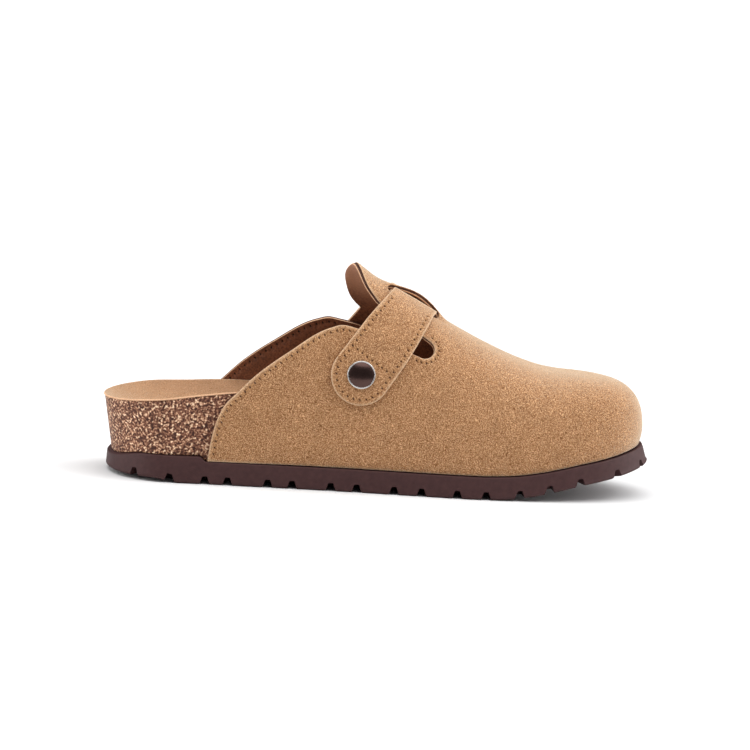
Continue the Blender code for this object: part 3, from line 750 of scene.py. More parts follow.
def strap_outline(inset):
    """The strap's outline, moved in by inset, as its two long edges and two round tabs in order."""
    middle, ahead, half = strap_axis()
    square = np.array([square_to(point, way)[1] for point, way in zip(middle, ahead)])
    half = half - inset
    left = [tuple(point) for point in middle + square * half[:, None]]
    right = [tuple(point) for point in middle - square * half[:, None]]
    outer_tab = arc(middle[-1], ahead[-1], half[-1], -90, 90)
    inner_tab = arc(middle[0], -ahead[0], half[0], -90, 90)
    return right[1:-1], outer_tab, left[-2:0:-1], inner_tab


def strap_loops(spacing):
    """The strap's outline and its two rivet holes."""
    right, outer_tab, left, inner_tab = strap_outline(0.0)
    outline = spaced(right, spacing) + outer_tab + spaced(left, spacing) + inner_tab
    return [outline] + rivet_holes()


def strap_lift(x, around):
    """Height of the strap's outer face: on the quarters outside the slits, and under the bridge between."""
    over = CLEARANCE + STRAP_THICK
    under = bridge_rise(x, around) - WALL - BRIDGE_GAP
    return under + (over - under) * smooth(np.abs(around), *STRAP_DIP)


def strap_bend_highlight(around):
    """1 along the two lines where the strap bends down into the slits, where a highlight of the lit bend is
    painted.
    """
    return np.exp(-(((np.abs(around) - STRAP_BEND) / STRAP_BEND_WIDTH) ** 2))


def tongue_top_light(around):
    """1 along the ridge, where the tongue's lining is painted paler, as if more light fell on its top."""
    return 1 - smooth(np.abs(around), *TONGUE_TOP_LIGHT)


# Sewing: rows of needle pits in the pattern


def pit_row(path, pitch):
    """Pits along a pattern path, a true pitch apart on the last."""
    path = np.array(path)
    ground = last_point(path[:, 0], path[:, 1])
    run = run_along(ground)
    at = np.linspace(0, run[-1], int(round(run[-1] / pitch)) + 1)
    return np.stack([np.interp(at, run, column) for column in path.T], axis=1)


def upper_rows():
    """Pit rows of the upper: along each quarter's edge, and round each keyhole."""
    rows = []
    for side in (-1, 1):
        edge = inset_path(spaced(quarter_points(side), QUARTER_PATH_STEP), -side * QUARTER_STITCH_INSET)
        rows.append(pit_row(edge[1:-2], QUARTER_STITCH_PITCH))
        hole = inset_path(keyhole_arc(side), -side * QUARTER_STITCH_INSET)
        rows.append(pit_row(hole, KEYHOLE_STITCH_PITCH))
    return rows


def strap_rows():
    """Pit rows of the strap: round each tab and on towards the slit, and a seam across above each rivet."""
    right, outer_tab, left, inner_tab = strap_outline(STRAP_STITCH_INSET)
    rows = []
    for side, before, tab, after in ((1, right, outer_tab, left), (-1, left, inner_tab, right)):
        path = [p for p in before + tab + after if p[1] * side > STRAP_STITCH_FROM]
        rows.append(pit_row(path, STRAP_STITCH_PITCH))
    middle, ahead, half = strap_axis()
    run = run_along(last_point(*middle.T))
    for at in (CROSS_SEAM_FROM_RIVET, run[-1] - CROSS_SEAM_FROM_RIVET):
        i = int(np.argmin(np.abs(run - at)))
        square = square_to(middle[i], ahead[i])[1]
        width = half[i] - STRAP_STITCH_INSET
        seam = [middle[i] + square * width * share for share in np.linspace(-1, 1, CROSS_SEAM_POINTS)]
        rows.append(pit_row(seam, STRAP_STITCH_PITCH))
    return rows


# Objects


def placed(points):
    """Points in metres from the middle of the footprint."""
    return (np.asarray(points) - ORIGIN) * MM


def add_object(name, data):
    """An object in the scene for a mesh, a light or a camera."""
    made = bpy.data.objects.new(name, data)
    bpy.context.scene.collection.objects.link(made)
    return made


def add_piece(name, points, faces, materials, replaced):
    """A mesh piece of the shoe that stands for a solid."""
    mesh = bpy.data.meshes.new(name)
    mesh.from_pydata(placed(points).tolist(), [], faces)
    for material in materials:
        mesh.materials.append(material)
    mesh.shade_smooth()
    piece = add_object(name, mesh)
    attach(piece, BODY)
    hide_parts(*replaced)
    return piece


def set_materials(piece, indices):
    """Which of a piece's materials each face takes."""
    piece.data.polygons.foreach_set("material_index", indices.astype(np.int32))


def set_attribute(piece, name, values):
    """A value at each point of a piece, which its material reads by name."""
    attribute = piece.data.attributes.new(name, "FLOAT", "POINT")
    attribute.data.foreach_set("value", np.asarray(values, np.float32))


def clean_up(piece):
    """Joins points that meet, drops faces without area, turns all faces outwards and shades them smooth."""
    shape = bmesh.new()
    shape.from_mesh(piece.data)
    bmesh.ops.remove_doubles(shape, verts=shape.verts, dist=WELD)
    bmesh.ops.dissolve_degenerate(shape, edges=shape.edges, dist=SLIVER)
    bmesh.ops.recalc_face_normals(shape, faces=shape.faces)
    shape.to_mesh(piece.data)
    shape.free()
    piece.data.shade_smooth()


def band_faces(count, levels, first=0):
    """Faces between rings of count points each, which lie one ring after another."""
    faces = []
    for low in range(first, first + (levels - 1) * count, count):
        for i in range(count):
            here, there = low + i, low + (i + 1) % count
            faces.append((here, there, there + count, here + count))
    return faces


def border_edges(faces):
    """Directed edges that only one face has."""
    pairs = np.concatenate([faces[:, [0, 1]], faces[:, [1, 2]], faces[:, [2, 0]]])
    size = faces.max() + 1
    there = pairs[:, 0] * size + pairs[:, 1]
    back = pairs[:, 1] * size + pairs[:, 0]
    return pairs[~np.isin(there, back)]


def add_layer(
    name, loops, spacing, top, thick, soft_edge, rows, materials, replaced, painted_light=None, pits_inside=False
):
    """A sheet cut as a flat pattern and laid on the last, with its outer face at the height top.

    The materials are for the outer face, the inner face and the cut edge. The rows of needle pits dent the
    outer face, or the inner one when pits_inside is set.
    """
    pits = np.concatenate(rows) if rows else np.zeros((0, 2))
    pattern, faces = patch(loops, spacing, soft_edge, pits)
    x, around = pattern.T
    border = np.array([point for loop in loops for point in loop])
    gap = nearest(pattern, border)
    # Pale border along the outline: partly wear, partly a painted highlight of the lit edge.
    rubbed_and_highlit = 1 - smooth(nearest(pattern, loops[0]), *RUBBED_AND_HIGHLIT_BORDER)
    lift = top(x, around)
    near_edge = np.clip(1 - gap / soft_edge, 0, 1)
    rounding = soft_edge * (1 - np.sqrt(1 - near_edge**2))
    pit = dent = np.zeros(len(pattern))
    if len(pits):
        from_pit = nearest(pattern, pits)
        # The pits' dent, which the materials also darken as painted shade.
        pit = 1 - smooth(from_pit, PIT_FLOOR, PIT_BRIM)
        seam = np.concatenate([spaced(row, SEAM_PATH_STEP) for row in rows])
        from_seam = nearest(pattern, seam)
        dent = PIT_DEPTH * pit + SEAM_DEPTH * np.exp(-((from_seam / SEAM_WIDTH) ** 2))
    ground = last_point(x, around)
    normal = last_normal(x, around)
    high = lift - rounding
    low = lift - thick + near_edge * INNER_ROUNDING
    if pits_inside:
        low = low + dent
    else:
        high = high - dent
    outer = ground + normal * high[:, None]
    inner = ground + normal * low[:, None]
    count = len(pattern)
    sides = [(b, a, a + count, b + count) for a, b in border_edges(faces).tolist()]
    all_faces = faces.tolist() + (faces[:, ::-1] + count).tolist() + sides
    piece = add_piece(name, np.concatenate([outer, inner]), all_faces, materials, replaced)
    set_materials(piece, np.repeat([0, 1, 2], [len(faces), len(faces), len(sides)]))
    set_attribute(piece, "rubbed_and_highlit", np.tile(rubbed_and_highlit, 2))
    set_attribute(piece, "pit", np.tile(pit, 2))
    # Painted light where the piece marks it: a highlight on the strap's bends, and paler tongue lining near
    # the ridge.
    if painted_light:
        set_attribute(piece, "painted_light", np.tile(painted_light(around), 2))
    piece.data.set_sharp_from_angle(angle=math.radians(SHEET_SHARP))


def add_threads(name, rows, top, material, replaced):
    """Sewing thread from pit to pit: a short bowed tube for each stitch, all in one mesh."""
    turns = full_turn(THREAD_SIDES)
    shares = np.linspace(*THREAD_SPAN, THREAD_STATIONS)
    bow = np.sin(np.pi * shares) ** THREAD_BOW
    points, faces = [], []
    for row in rows:
        start, end = row[:-1], row[1:]
        flat = start[:, None, :] + (end - start)[:, None, :] * shares[None, :, None]
        grid = flat.shape[:2]
        x, around = flat[..., 0].ravel(), flat[..., 1].ravel()
        lift = top(x, around).reshape(grid)
        lift = lift - SEAM_DEPTH + (THREAD_RISE + THREAD_DIVE) * bow[None, :] - THREAD_DIVE
        line = lifted(x, around, lift.ravel()).reshape(*grid, 3)
        normal = last_normal(x, around).reshape(*grid, 3)
        across = np.cross(np.gradient(line, axis=1), normal)
        across /= np.linalg.norm(across, axis=2)[..., None]
        for middles, sideways, upwards in zip(line, across, normal):
            first = len(points)
            for middle, side_way, up_way in zip(middles, sideways, upwards):
                points += [
                    middle + THREAD_RADIUS * (math.cos(turn) * side_way + math.sin(turn) * up_way)
                    for turn in turns
                ]
            faces += band_faces(THREAD_SIDES, THREAD_STATIONS, first)
            faces.append(tuple(range(first, first + THREAD_SIDES))[::-1])
            faces.append(tuple(range(len(points) - THREAD_SIDES, len(points))))
    add_piece(name, points, faces, [material], replaced)


def spokes(fan_steps, stations):
    """Plan rays from the ridge line to the outline, in order round the shoe."""
    fan = np.linspace(math.pi / 2, 0, fan_steps)[:-1]
    rays = [(HEEL_FAN_X, -math.sin(a), -math.cos(a)) for a in fan]
    rays += [(x, 0.0, -1.0) for x in stations]
    rays += [(TOE_FAN_X, math.sin(a), -math.cos(a)) for a in fan[::-1]]
    mirrored = [(x, along, -across) for x, along, across in rays[1:-1]]
    return np.array(rays + mirrored[::-1]).T


def ring(rays, distance, height):
    """A ring of points at the given distance out on each ray. Height is an array or a function of x."""
    start_x, along, across = rays
    x = start_x + along * distance
    z = height(x) if callable(height) else height
    return np.stack([x, RIDGE_Y + across * distance, np.broadcast_to(z, x.shape)], axis=1)


def add_rings(name, rings, materials, replaced, second=()):
    """A closed solid skinned over rings, whose first and last lie along the ridge line.

    The bands in second take the second material.
    """
    count = len(rings[0])
    faces = band_faces(count, len(rings))
    piece = add_piece(name, np.concatenate(rings), faces, materials, replaced)
    set_materials(piece, np.repeat([level in second for level in range(len(rings) - 1)], count))
    clean_up(piece)
    return piece


def notch_rays():
    """Plan rays, lengths and depths of the tread's notches at sides, toe and heel, and of a heel groove."""
    rays = []
    for pair in range(NOTCH_PAIRS):
        middle = NOTCH_FIRST_PAIR_X + pair * NOTCH_PITCH
        gap = NOTCH_HALF_GAP + pair * NOTCH_GAP_GROWTH
        rays += [(middle - gap, 0.0), (middle + gap, 0.0)]
    rays += [(TOE_FAN_X, math.radians(angle)) for angle in NOTCH_TOE_ANGLES]
    rays += [(HEEL_FAN_X, -math.radians(angle)) for angle in NOTCH_HEEL_ANGLES]
    cut = (NOTCH_LENGTH, NOTCH_DEPTH)
    bars = [(x, math.sin(a), side * math.cos(a), *cut) for x, a in rays for side in (-1, 1)]
    bars.append((HEEL_GROOVE_X, 0.0, -1.0, HEEL_GROOVE_LENGTH, HEEL_GROOVE_DEPTH))
    return np.array(bars).T


def notch_cutter():
    """Tapered bars with rounded edges that point inwards from the tread's edge, one for each notch."""
    shape = bmesh.new()
    mouth = NOTCH_MOUTH + (NOTCH_MOUTH - NOTCH_ROOF) * NOTCH_OVERCUT / NOTCH_DEPTH
    *rays, lengths, depths = notch_rays()
    edges = reach(*rays) + sole_flare(rays[1])
    for start_x, along, across, length, depth, edge in zip(*rays, lengths, depths, edges):
        made = bmesh.ops.create_cube(shape, size=1.0)
        for vert in made["verts"]:
            top = vert.co.z > 0
            sideways = vert.co.x * (NOTCH_ROOF if top else mouth)
            out = edge + NOTCH_OVERCUT if vert.co.y > 0 else edge - length
            x = start_x + along * out + across * sideways
            y = RIDGE_Y + across * out - along * sideways
            z = float(sole_bottom(x)) + (depth if top else -NOTCH_OVERCUT)
            vert.co = placed((x, y, z))
    bmesh.ops.bevel(
        shape, geom=shape.edges, offset=NOTCH_ROUNDING * MM, segments=3, profile=0.5, affect="EDGES"
    )
    mesh = bpy.data.meshes.new("notch_cutter")
    shape.to_mesh(mesh)
    shape.free()
    return add_object("notch_cutter", mesh)


def add_outsole(material):
    """The sole with rounded edges, with the tread's notches cut out of it."""
    stations = np.concatenate([np.linspace(HEEL_FAN_X, TOE_FAN_X, SOLE_STATIONS), SOLE_STEP_X])
    rays = spokes(SOLE_FAN_STEPS, np.sort(stations))
    edge = reach(*rays)
    foot = edge + sole_flare(rays[1])
    top_z = sole_top(rays[0] + rays[1] * edge)
    bottom_z = sole_bottom(rays[0] + rays[1] * foot)
    rings = [ring(rays, edge * share, sole_top) for share in SOLE_TOP_RINGS]
    quarter_turn = np.linspace(0, math.pi / 2, ROUNDING_STEPS)
    for turn in quarter_turn:
        inset = SOLE_LIP_ROUNDING * (1 - math.sin(turn))
        drop = SOLE_LIP_ROUNDING * (1 - math.cos(turn))
        rings.append(ring(rays, edge - inset, top_z - drop))
    for share in SOLE_SIDE_RINGS:
        level = top_z + (bottom_z - top_z) * share
        rings.append(ring(rays, edge + (foot - edge) * share, level))
    for turn in quarter_turn:
        inset = TREAD_ROUNDING * (1 - math.cos(turn))
        rise = TREAD_ROUNDING * (1 - math.sin(turn))
        rings.append(ring(rays, foot - inset, bottom_z + rise))
    rings += [ring(rays, (foot - TREAD_ROUNDING) * share, sole_bottom) for share in SOLE_BOTTOM_RINGS]
    sole = add_rings("outsole_tread", rings, [material], ["outsole"])
    cutter = notch_cutter()
    cut = sole.modifiers.new("tread_notches", "BOOLEAN")
    cut.operation = "DIFFERENCE"
    cut.object = cutter
    graph = bpy.context.evaluated_depsgraph_get()
    made = bpy.data.meshes.new_from_object(sole.evaluated_get(graph))
    sole.modifiers.clear()
    sole.data = made
    bpy.data.objects.remove(cutter)
    sole.data.set_sharp_from_angle(angle=math.radians(SOLE_SHARP))


def bed_edge(rays, z):
    """Distance out to the cork's side at height z: inside the upper, and leaning outwards at the heel."""
    edge = reach(*rays)
    edge_x = rays[0] + edge * rays[1]
    within = wall_reach(*rays, z) - WALL - CLEARANCE - SEAT_GAP
    back = np.maximum(-rays[1], 0.0)
    lean = CORK_LEAN_SIDE + (CORK_LEAN_BACK - CORK_LEAN_SIDE) * back**2
    rise = (z - SOLE_HEEL_TOP) / (RIM_HEIGHT[0][1] - SOLE_HEEL_TOP)
    heel = edge - CORK_INSET + lean * rise
    return heel + (within - heel) * smooth(edge_x, *CORK_UNDER_UPPER_X)


def rim_height(rays):
    """Height of the bed's rim on each ray, which is higher on the inner side."""
    edge_x = rays[0] + reach(*rays) * rays[1]
    inner, outer = [curve(edge_x, RIM_HEIGHT, column) for column in (1, 2)]
    return outer + (inner - outer) * smooth(-rays[2], -RIM_BLEND, RIM_BLEND)


def bed_rings(rays, sink, shares):
    """Rings of the bed's top from the ridge line to the rim, sunk below the finished height."""
    rim = rim_height(rays) - sink
    middle = curve(rays[0], BED_HEIGHT) - sink
    edge = bed_edge(rays, rim)
    return [ring(rays, edge * s, middle + (rim - middle) * s**CUP_POWER) for s in shares]


def bed_spokes():
    """Rays that lie close together at the heel, where the cork shows."""
    heel = np.arange(HEEL_FAN_X, CORK_SHOWS_TO_X, BED_FINE_STEP)
    rest = np.arange(CORK_SHOWS_TO_X, TOE_FAN_X, BED_COARSE_STEP)
    return spokes(BED_FAN_STEPS, np.concatenate([heel, rest, [TOE_FAN_X]]))


def add_cork(rays, material):
    """The cork bed: cupped top under the insole, leaning sides, and a base on the sole."""
    top = bed_rings(rays, INSOLE_THICK, CORK_TOP_RINGS)
    rim = rim_height(rays) - INSOLE_THICK
    foot_x = rays[0] + (reach(*rays) - CORK_INSET) * rays[1]
    low = sole_top(foot_x) + SEAT_GAP
    side = []
    for share in np.linspace(1.0, 0.0, CORK_LEVELS)[1:]:
        level = low + (rim - low) * share
        side.append(ring(rays, bed_edge(rays, level), level))
    base = bed_edge(rays, low)
    bottom = [ring(rays, base * s, lambda x: sole_top(x) + SEAT_GAP) for s in CORK_BASE_RINGS]
    add_rings("cork_bed", top + side + bottom, [material], ["footbed"])


def add_insole(rays, materials):
    """The insole sheet on the cork, with a rounded lip that takes the second material."""
    rim = rim_height(rays)
    top = bed_rings(rays, 0.0, INSOLE_TOP_RINGS)
    radius = INSOLE_THICK / 2
    lip = []
    for turn in np.linspace(0, math.pi, LIP_STEPS):
        level = rim - radius + radius * math.cos(turn)
        out = bed_edge(rays, rim) - radius + INSOLE_LIP + radius * math.sin(turn)
        lip.append(ring(rays, out, level))
    bottom = bed_rings(rays, INSOLE_THICK - INSOLE_CORK_GAP, INSOLE_BOTTOM_RINGS)
    lip_bands = range(len(top), len(top) + len(lip))
    add_rings("insole_sheet", top + lip + bottom, materials, ["insole"], lip_bands)


def add_lathe(name, profile, side, material, replaced):
    """A turned piece on the rivet's axis, from rows of radius and height, from the top down."""
    x, around = rivet_place(side)
    place = np.array([[x], [around]])
    foot = last_point(*place)[0]
    axis = last_normal(*place)[0]
    first = np.cross(axis, (0.0, 0.0, 1.0))
    first /= np.linalg.norm(first)
    second = np.cross(axis, first)
    points = []
    for radius, height in profile:
        for turn in full_turn(RIVET_STEPS):
            out = math.cos(turn) * first + math.sin(turn) * second
            points.append(foot + axis * height + out * radius)
    faces = [(a, d, c, b) for a, b, c, d in band_faces(RIVET_STEPS, len(profile))]
    piece = add_piece(name, points, faces, [material], [replaced])
    clean_up(piece)
    piece.data.set_sharp_from_angle(angle=math.radians(RIVET_SHARP))


def add_rivet(label, side, dome_material, rim_material):
    """A dark domed cap in a bright rolled rim, and a flat washer inside the shoe."""
    node = f"rivet_{label}"
    seat = CLEARANCE + STRAP_THICK + RIVET_SEAT_GAP
    dome = [(0.0, seat + RIVET_CAP_HEIGHT)]
    for share in np.linspace(*DOME_SHARES):
        rise = (RIVET_CAP_HEIGHT - RIVET_RIM_HEIGHT) * (1 - share**RIVET_DOME_POWER)
        dome.append((RIVET_DOME_RADIUS * share, seat + RIVET_RIM_HEIGHT + rise))
    dome += [(radius, seat + RIVET_DOME_FOOT) for radius in (RIVET_DOME_RADIUS, 0.0)]
    add_lathe(f"{node}_dome", dome, side, dome_material, node)
    middle = (RIVET_DOME_RADIUS + RIVET_CAP_RADIUS) / 2
    half_wide = RIVET_CAP_RADIUS - middle + RIVET_RIM_ROLL
    half_high = RIVET_RIM_HEIGHT / 2 + RIVET_RIM_LIFT
    rim = []
    for turn in np.linspace(0, 2 * math.pi, RIM_STEPS):
        height = seat + RIVET_RIM_HEIGHT / 2 + half_high * math.cos(turn)
        rim.append((middle + half_wide * math.sin(turn), height))
    add_lathe(f"{node}_rim", rim, side, rim_material, node)
    inside = -WALL - RIVET_LINING_GAP
    back_face = inside - RIVET_BACK_THICK
    back = [
        (0.0, seat),
        (RIVET_SHANK_RADIUS, seat),
        (RIVET_SHANK_RADIUS, inside),
        (RIVET_BACK_RADIUS - RIVET_BACK_ROUNDING, inside),
        (RIVET_BACK_RADIUS, inside - RIVET_BACK_ROUNDING),
        (RIVET_BACK_RADIUS, back_face + RIVET_BACK_ROUNDING),
        (RIVET_BACK_RADIUS - RIVET_BACK_CHAMFER, back_face),
        (0.0, back_face),
    ]
    add_lathe(f"{node}_back", back, side, rim_material, node)


# Materials


class Nodes:
    """A material's node tree, with short ways to add and join nodes."""

    def __init__(self, name, roughness, metallic=0.0, specular=0.5):
        self.material = bpy.data.materials.new(name)
        self.material.use_nodes = True
        self.tree = self.material.node_tree
        self.shader = self.tree.nodes["Principled BSDF"]
        self.shade({"Roughness": roughness, "Metallic": metallic, "Specular IOR Level": specular})
        self.place = self.add("TexCoord").outputs["Object"]

    def give(self, node, inputs):
        """Joins sockets to a node's inputs, or sets the inputs to numbers and colours."""
        for key, value in inputs.items():
            if isinstance(value, bpy.types.NodeSocket):
                self.tree.links.new(value, node.inputs[key])
            else:
                node.inputs[key].default_value = value

    def shade(self, inputs):
        self.give(self.shader, inputs)

    def add(self, kind, inputs=None, **settings):
        """A shader node with its settings, and with its inputs joined or set."""
        node = self.tree.nodes.new("ShaderNode" + kind)
        for name, value in settings.items():
            setattr(node, name, value)
        self.give(node, inputs or {})
        return node

    def noise(self, size, detail=2.0, rough=0.5, output="Fac"):
        """Noise with features of about the given size in millimetres."""
        inputs = {"Vector": self.place, "Scale": 1.0 / (size * MM), "Detail": detail, "Roughness": rough}
        return self.add("TexNoise", inputs).outputs[output]

    def strokes(self, wave, waves, swirl):
        """Short strokes a wave apart, in bundles of some waves, whose way changes over the swirl size."""
        swirls = self.noise(swirl, detail=1.0, output="Color")
        turned = self.add("VectorMath", {0: swirls, 1: (0.5, 0.5, 0.5)}, operation="SUBTRACT")
        inputs = {
            "Vector": self.place, "Orientation 3D": turned.outputs["Vector"],
            "Scale": 1.0 / (wave * waves * MM), "Frequency": waves, "Anisotropy": 1.0,
        }
        return self.add("TexGabor", inputs, gabor_type="3D").outputs["Value"]

    def ramp(self, value, *stops):
        """Colours at places along a value."""
        node = self.add("ValToRGB", {"Fac": value})
        marks = node.color_ramp.elements
        while len(marks) < len(stops):
            marks.new(0.5)
        for mark, (at, colour) in zip(marks, stops):
            mark.position = at
            mark.color = colour
        return node.outputs["Color"]

    def mix(self, share, first, second, blend="MIX"):
        """The first colour with a share of the second one in it."""
        inputs = {MIX_SHARE: share, MIX_FIRST: first, MIX_SECOND: second}
        return self.add("Mix", inputs, data_type="RGBA", blend_type=blend).outputs[MIX_RESULT]

    def patchy(self, base, size, low, high):
        """A base colour that is darker and lighter in soft patches of the given size."""
        patches = self.ramp(self.noise(size), (0.3, grey(low)), (0.7, grey(high)))
        return self.mix(1.0, base, patches, "MULTIPLY")

    def marked(self, base, name, share, colour):
        """A base colour that goes a share of the way to another one where the piece's attribute is 1."""
        mark = self.add("Attribute", attribute_name=name).outputs["Fac"]
        part = self.add("Math", {0: mark, 1: share}, operation="MULTIPLY")
        return self.mix(part.outputs["Value"], base, colour)

    def bump(self, height, distance, strength):
        """Fine relief, of the given depth in millimetres."""
        node = self.add("Bump", {"Height": height, "Distance": distance * MM, "Strength": strength})
        self.shade({"Normal": node.outputs["Normal"]})


def tint(red, green, blue):
    """Linear colour from screen values of 0 to 255."""
    shares = [v / 255 for v in (red, green, blue)]
    return (*(s / 12.92 if s <= 0.04045 else ((s + 0.055) / 1.055) ** 2.4 for s in shares), 1.0)


def grey(level):
    return (level, level, level, 1.0)


def suede(name, dark, middle, light, contrast):
    """Short napped suede: fine strokes that lie in changing directions, soft patches, a shader sheen and
    painted light and shade.
    """
    n = Nodes(name, roughness=0.95, specular=0.1)
    n.shade({"Sheen Weight": 0.8, "Sheen Roughness": 0.4, "Sheen Tint": (1.0, 0.93, 0.8, 1.0)})
    fibres = n.mix(0.3, n.strokes(wave=0.65, waves=1.3, swirl=1.5), n.noise(0.5, detail=1.0))
    base = n.ramp(fibres, (0.5 - contrast, dark), (0.5, middle), (0.5 + contrast, light))
    base = n.patchy(base, size=9.0, low=0.95, high=1.05)
    facing = n.add("LayerWeight", {"Blend": 0.5}).outputs["Facing"]
    # Painted sheen: the colour pales where the surface turns edge-on to the view, as light on the nap would
    # make it.
    painted_sheen = n.ramp(facing, (0.2, grey(0.0)), (0.6, grey(0.06)), (0.95, grey(0.25)))
    base = n.mix(painted_sheen, base, tint(246, 217, 174))
    # Pale border: partly wear, partly a painted highlight of the lit edge.
    base = n.marked(base, "rubbed_and_highlit", 0.55, tint(240, 206, 168))
    # Painted highlight on the strap's bends into the slits.
    base = n.marked(base, "painted_light", 0.7, tint(244, 214, 178))
    # Painted shade in the needle pits.
    n.shade({"Base Color": n.marked(base, "pit", 1.0, tint(96, 60, 39))})
    n.bump(fibres, distance=0.5, strength=1.0)
    return n.material


def cut_edge(name, dark, light):
    """Raw cut edge of leather: fibres in a band."""
    n = Nodes(name, roughness=0.9)
    fibres = n.noise(0.4, detail=3.0)
    n.shade({"Base Color": n.ramp(fibres, (0.3, dark), (0.7, light))})
    n.bump(fibres, distance=0.1, strength=0.6)
    return n.material


def thread(name):
    """Twisted sewing thread."""
    n = Nodes(name, roughness=0.8)
    twist = n.noise(0.35)
    n.shade({"Base Color": n.ramp(twist, (0.3, tint(150, 104, 62)), (0.7, tint(196, 150, 98)))})
    n.bump(twist, distance=0.05, strength=0.5)
    return n.material


def lining(name):
    """Smooth brown lining with a fine pebble."""
    n = Nodes(name, roughness=0.7)
    grain = n.noise(0.9)
    base = n.ramp(grain, (0.35, tint(98, 56, 35)), (0.65, tint(136, 84, 55)))
    base = n.patchy(base, size=14.0, low=0.85, high=1.12)
    # Painted light: the lining is paler near the tongue's ridge.
    base = n.marked(base, "painted_light", 0.55, tint(190, 138, 106))
    # Painted shade in the needle pits.
    n.shade({"Base Color": n.marked(base, "pit", 1.0, tint(40, 20, 12))})
    n.bump(grain, distance=0.08, strength=0.5)
    return n.material


def cork(name):
    """Pressed cork: long granules from dark to pale in a reddish brown binder, greyer in soft patches."""
    n = Nodes(name, roughness=0.7, specular=0.35)
    grain = n.mix(0.5, n.strokes(wave=1.9, waves=0.8, swirl=2.6), n.noise(1.05, detail=1.0))
    base = n.ramp(
        grain,
        (0.4, tint(62, 32, 22)),
        (0.47, tint(104, 64, 47)),
        (0.53, tint(142, 96, 72)),
        (0.58, tint(198, 152, 118)),
        (0.66, tint(250, 222, 188)),
    )
    n.shade({"Base Color": n.patchy(base, size=4.0, low=0.85, high=1.12)})
    n.bump(grain, distance=0.3, strength=1.0)
    return n.material


def foam(name):
    """Dark brown moulded foam: faint mottling and a fine skin."""
    n = Nodes(name, roughness=0.62, specular=0.35)
    mottle = n.noise(2.5, detail=4.0, rough=0.6)
    n.shade({"Base Color": n.ramp(mottle, (0.3, tint(56, 28, 28)), (0.7, tint(67, 38, 37)))})
    n.bump(n.noise(0.7, detail=3.0), distance=0.1, strength=0.35)
    return n.material


def metal(name, colour, roughness):
    """Plated metal, a little darker in soft patches."""
    n = Nodes(name, roughness, metallic=1.0)
    n.shade({"Base Color": n.patchy((*colour, 1.0), size=3.0, low=0.85, high=1.0)})
    return n.material


# Studio


def add_floor():
    """A wide sheet of pale paper."""
    bpy.ops.mesh.primitive_plane_add(size=FLOOR_SIZE)
    floor = bpy.context.object
    floor.name = "floor"
    n = Nodes("floor_paper", roughness=0.9, specular=0.0)
    n.shade({"Base Color": n.ramp(n.noise(40.0), (0.3, grey(0.74)), (0.7, grey(0.76)))})
    floor.data.materials.append(n.material)


def add_sun(name, way, power, spread):
    """A wide, even light that comes from the direction way."""
    data = bpy.data.lights.new(name, "SUN")
    data.energy = power
    data.angle = math.radians(spread)
    light = add_object(name, data)
    light.rotation_euler = Vector(way).to_track_quat("Z", "Y").to_euler()


def add_studio():
    """Soft light from overhead, from beyond the toe and from beyond the heel, in a dim white room."""
    world = bpy.data.worlds.new("studio")
    world.use_nodes = True
    back = world.node_tree.nodes["Background"]
    back.inputs["Color"].default_value = (0.97, 0.96, 1.0, 1.0)
    back.inputs["Strength"].default_value = 0.2
    bpy.context.scene.world = world
    add_sun("overhead_softbox", way=(0.1, 0.0, 1.0), power=3.2, spread=80.0)
    add_sun("toe_softbox", way=(1.0, 0.0, 0.5), power=2.45, spread=60.0)
    add_sun("heel_softbox", way=(-1.0, -0.05, 0.45), power=1.7, spread=50.0)
    bpy.context.scene.view_settings.view_transform = "Standard"


def add_camera():
    """A long lens at the photo's angle, rolled as the photo is."""
    azimuth = math.radians(CAMERA_AZIMUTH)
    elevation = math.radians(CAMERA_ELEVATION)
    roll = math.radians(CAMERA_ROLL)
    level = math.cos(elevation)
    back = Vector((math.sin(azimuth) * level, -math.cos(azimuth) * level, math.sin(elevation)))
    right = Vector((math.cos(azimuth), math.sin(azimuth), 0.0))
    up = back.cross(right)
    rolled_right = right * math.cos(roll) + up * math.sin(roll)
    rolled_up = up * math.cos(roll) - right * math.sin(roll)
    data = bpy.data.cameras.new("camera")
    data.sensor_width = SENSOR_WIDTH
    data.lens = SENSOR_WIDTH * CAMERA_DISTANCE / FRAME_WIDTH
    data.clip_end = CAMERA_SIGHT
    camera = add_object("camera", data)
    turn = Matrix((rolled_right, rolled_up, back)).transposed().to_4x4()
    place = Vector(placed(CAMERA_TARGET)) + back * CAMERA_DISTANCE * MM
    camera.matrix_world = Matrix.Translation(place) @ turn
    bpy.context.scene.camera = camera


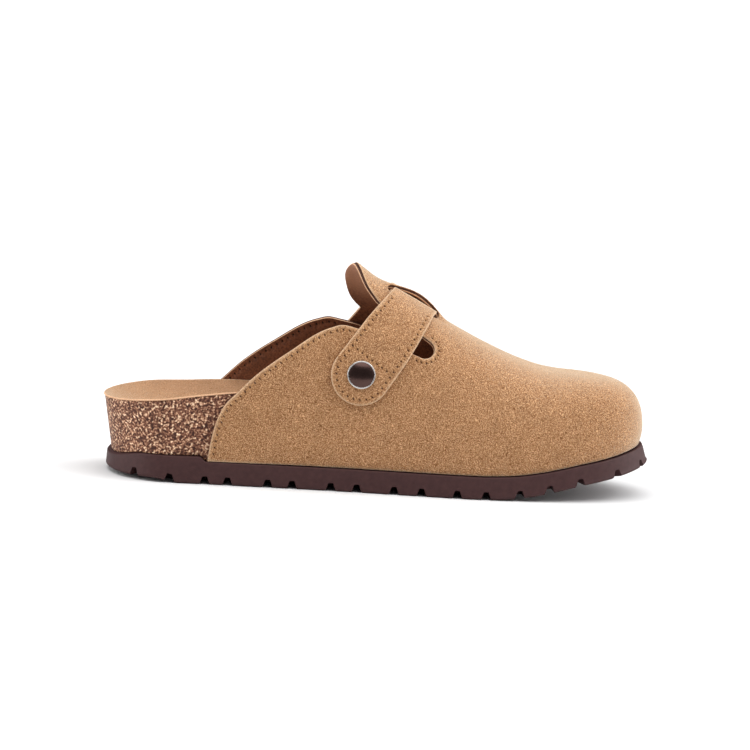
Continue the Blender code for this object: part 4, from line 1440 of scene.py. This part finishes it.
def main():
    add_camera()
    add_floor()
    add_studio()
    tan = suede("tan_suede", tint(122, 82, 52), tint(160, 115, 78), tint(211, 166, 122), contrast=0.11)
    bed_suede = suede(
        "bed_suede", tint(152, 113, 80), tint(174, 133, 99), tint(194, 153, 119), contrast=0.18
    )
    # Dark colour of the suede's cut edges and of the lining's outer face: partly the leather's dark core,
    # partly painted shade. Where the suede is cut back at the tongue's end, it shows as a dark band under
    # the suede's edge.
    core_and_shade = cut_edge("core_edge_and_shade", dark=tint(62, 34, 22), light=tint(92, 56, 38))
    pale = cut_edge("pale_edge", dark=tint(196, 148, 112), light=tint(232, 190, 152))
    brown = lining("brown_lining")
    gunmetal = metal("gunmetal", (0.085, 0.05, 0.044), roughness=0.25)
    silver = metal("silver_rim", (0.62, 0.6, 0.58), roughness=0.2)
    sewing = thread("tan_thread")
    seam_rows = upper_rows()
    tab_rows = strap_rows()

    def lining_top(x, around):
        return upper_lift(x, around) - SUEDE_THICK - LAYER_GAP

    def strap_back_top(x, around):
        return strap_lift(x, around) - STRAP_SUEDE_THICK - LAYER_GAP

    upper = ["upper"]
    add_layer(
        "upper_suede", upper_loops(UPPER_SPACING, TONGUE_TRIM), UPPER_SPACING, upper_lift,
        SUEDE_THICK, SOFT_EDGE, seam_rows, [tan, brown, core_and_shade], upper,
    )
    add_layer(
        "upper_lining", upper_loops(LINING_SPACING), LINING_SPACING, lining_top,
        WALL - SUEDE_THICK - LAYER_GAP, LINING_SOFT_EDGE, seam_rows, [core_and_shade, brown, pale], upper,
        tongue_top_light, pits_inside=True,
    )
    strap = ["strap"]
    add_layer(
        "strap_suede", strap_loops(STRAP_SPACING), STRAP_SPACING, strap_lift,
        STRAP_SUEDE_THICK, SOFT_EDGE, tab_rows, [tan, brown, tan], strap, strap_bend_highlight,
    )
    add_layer(
        "strap_lining", strap_loops(STRAP_SPACING), STRAP_SPACING, strap_back_top,
        STRAP_THICK - STRAP_SUEDE_THICK - LAYER_GAP, LINING_SOFT_EDGE, [], [core_and_shade, brown, pale], strap,
    )
    add_threads("upper_stitches", seam_rows, upper_lift, sewing, upper)
    add_threads("strap_stitches", tab_rows, strap_lift, sewing, strap)
    add_rivet("inner", -1, gunmetal, silver)
    add_rivet("outer", 1, gunmetal, silver)
    rays = bed_spokes()
    add_cork(rays, cork("pressed_cork"))
    add_insole(rays, [bed_suede, pale])
    add_outsole(foam("brown_foam"))


main()
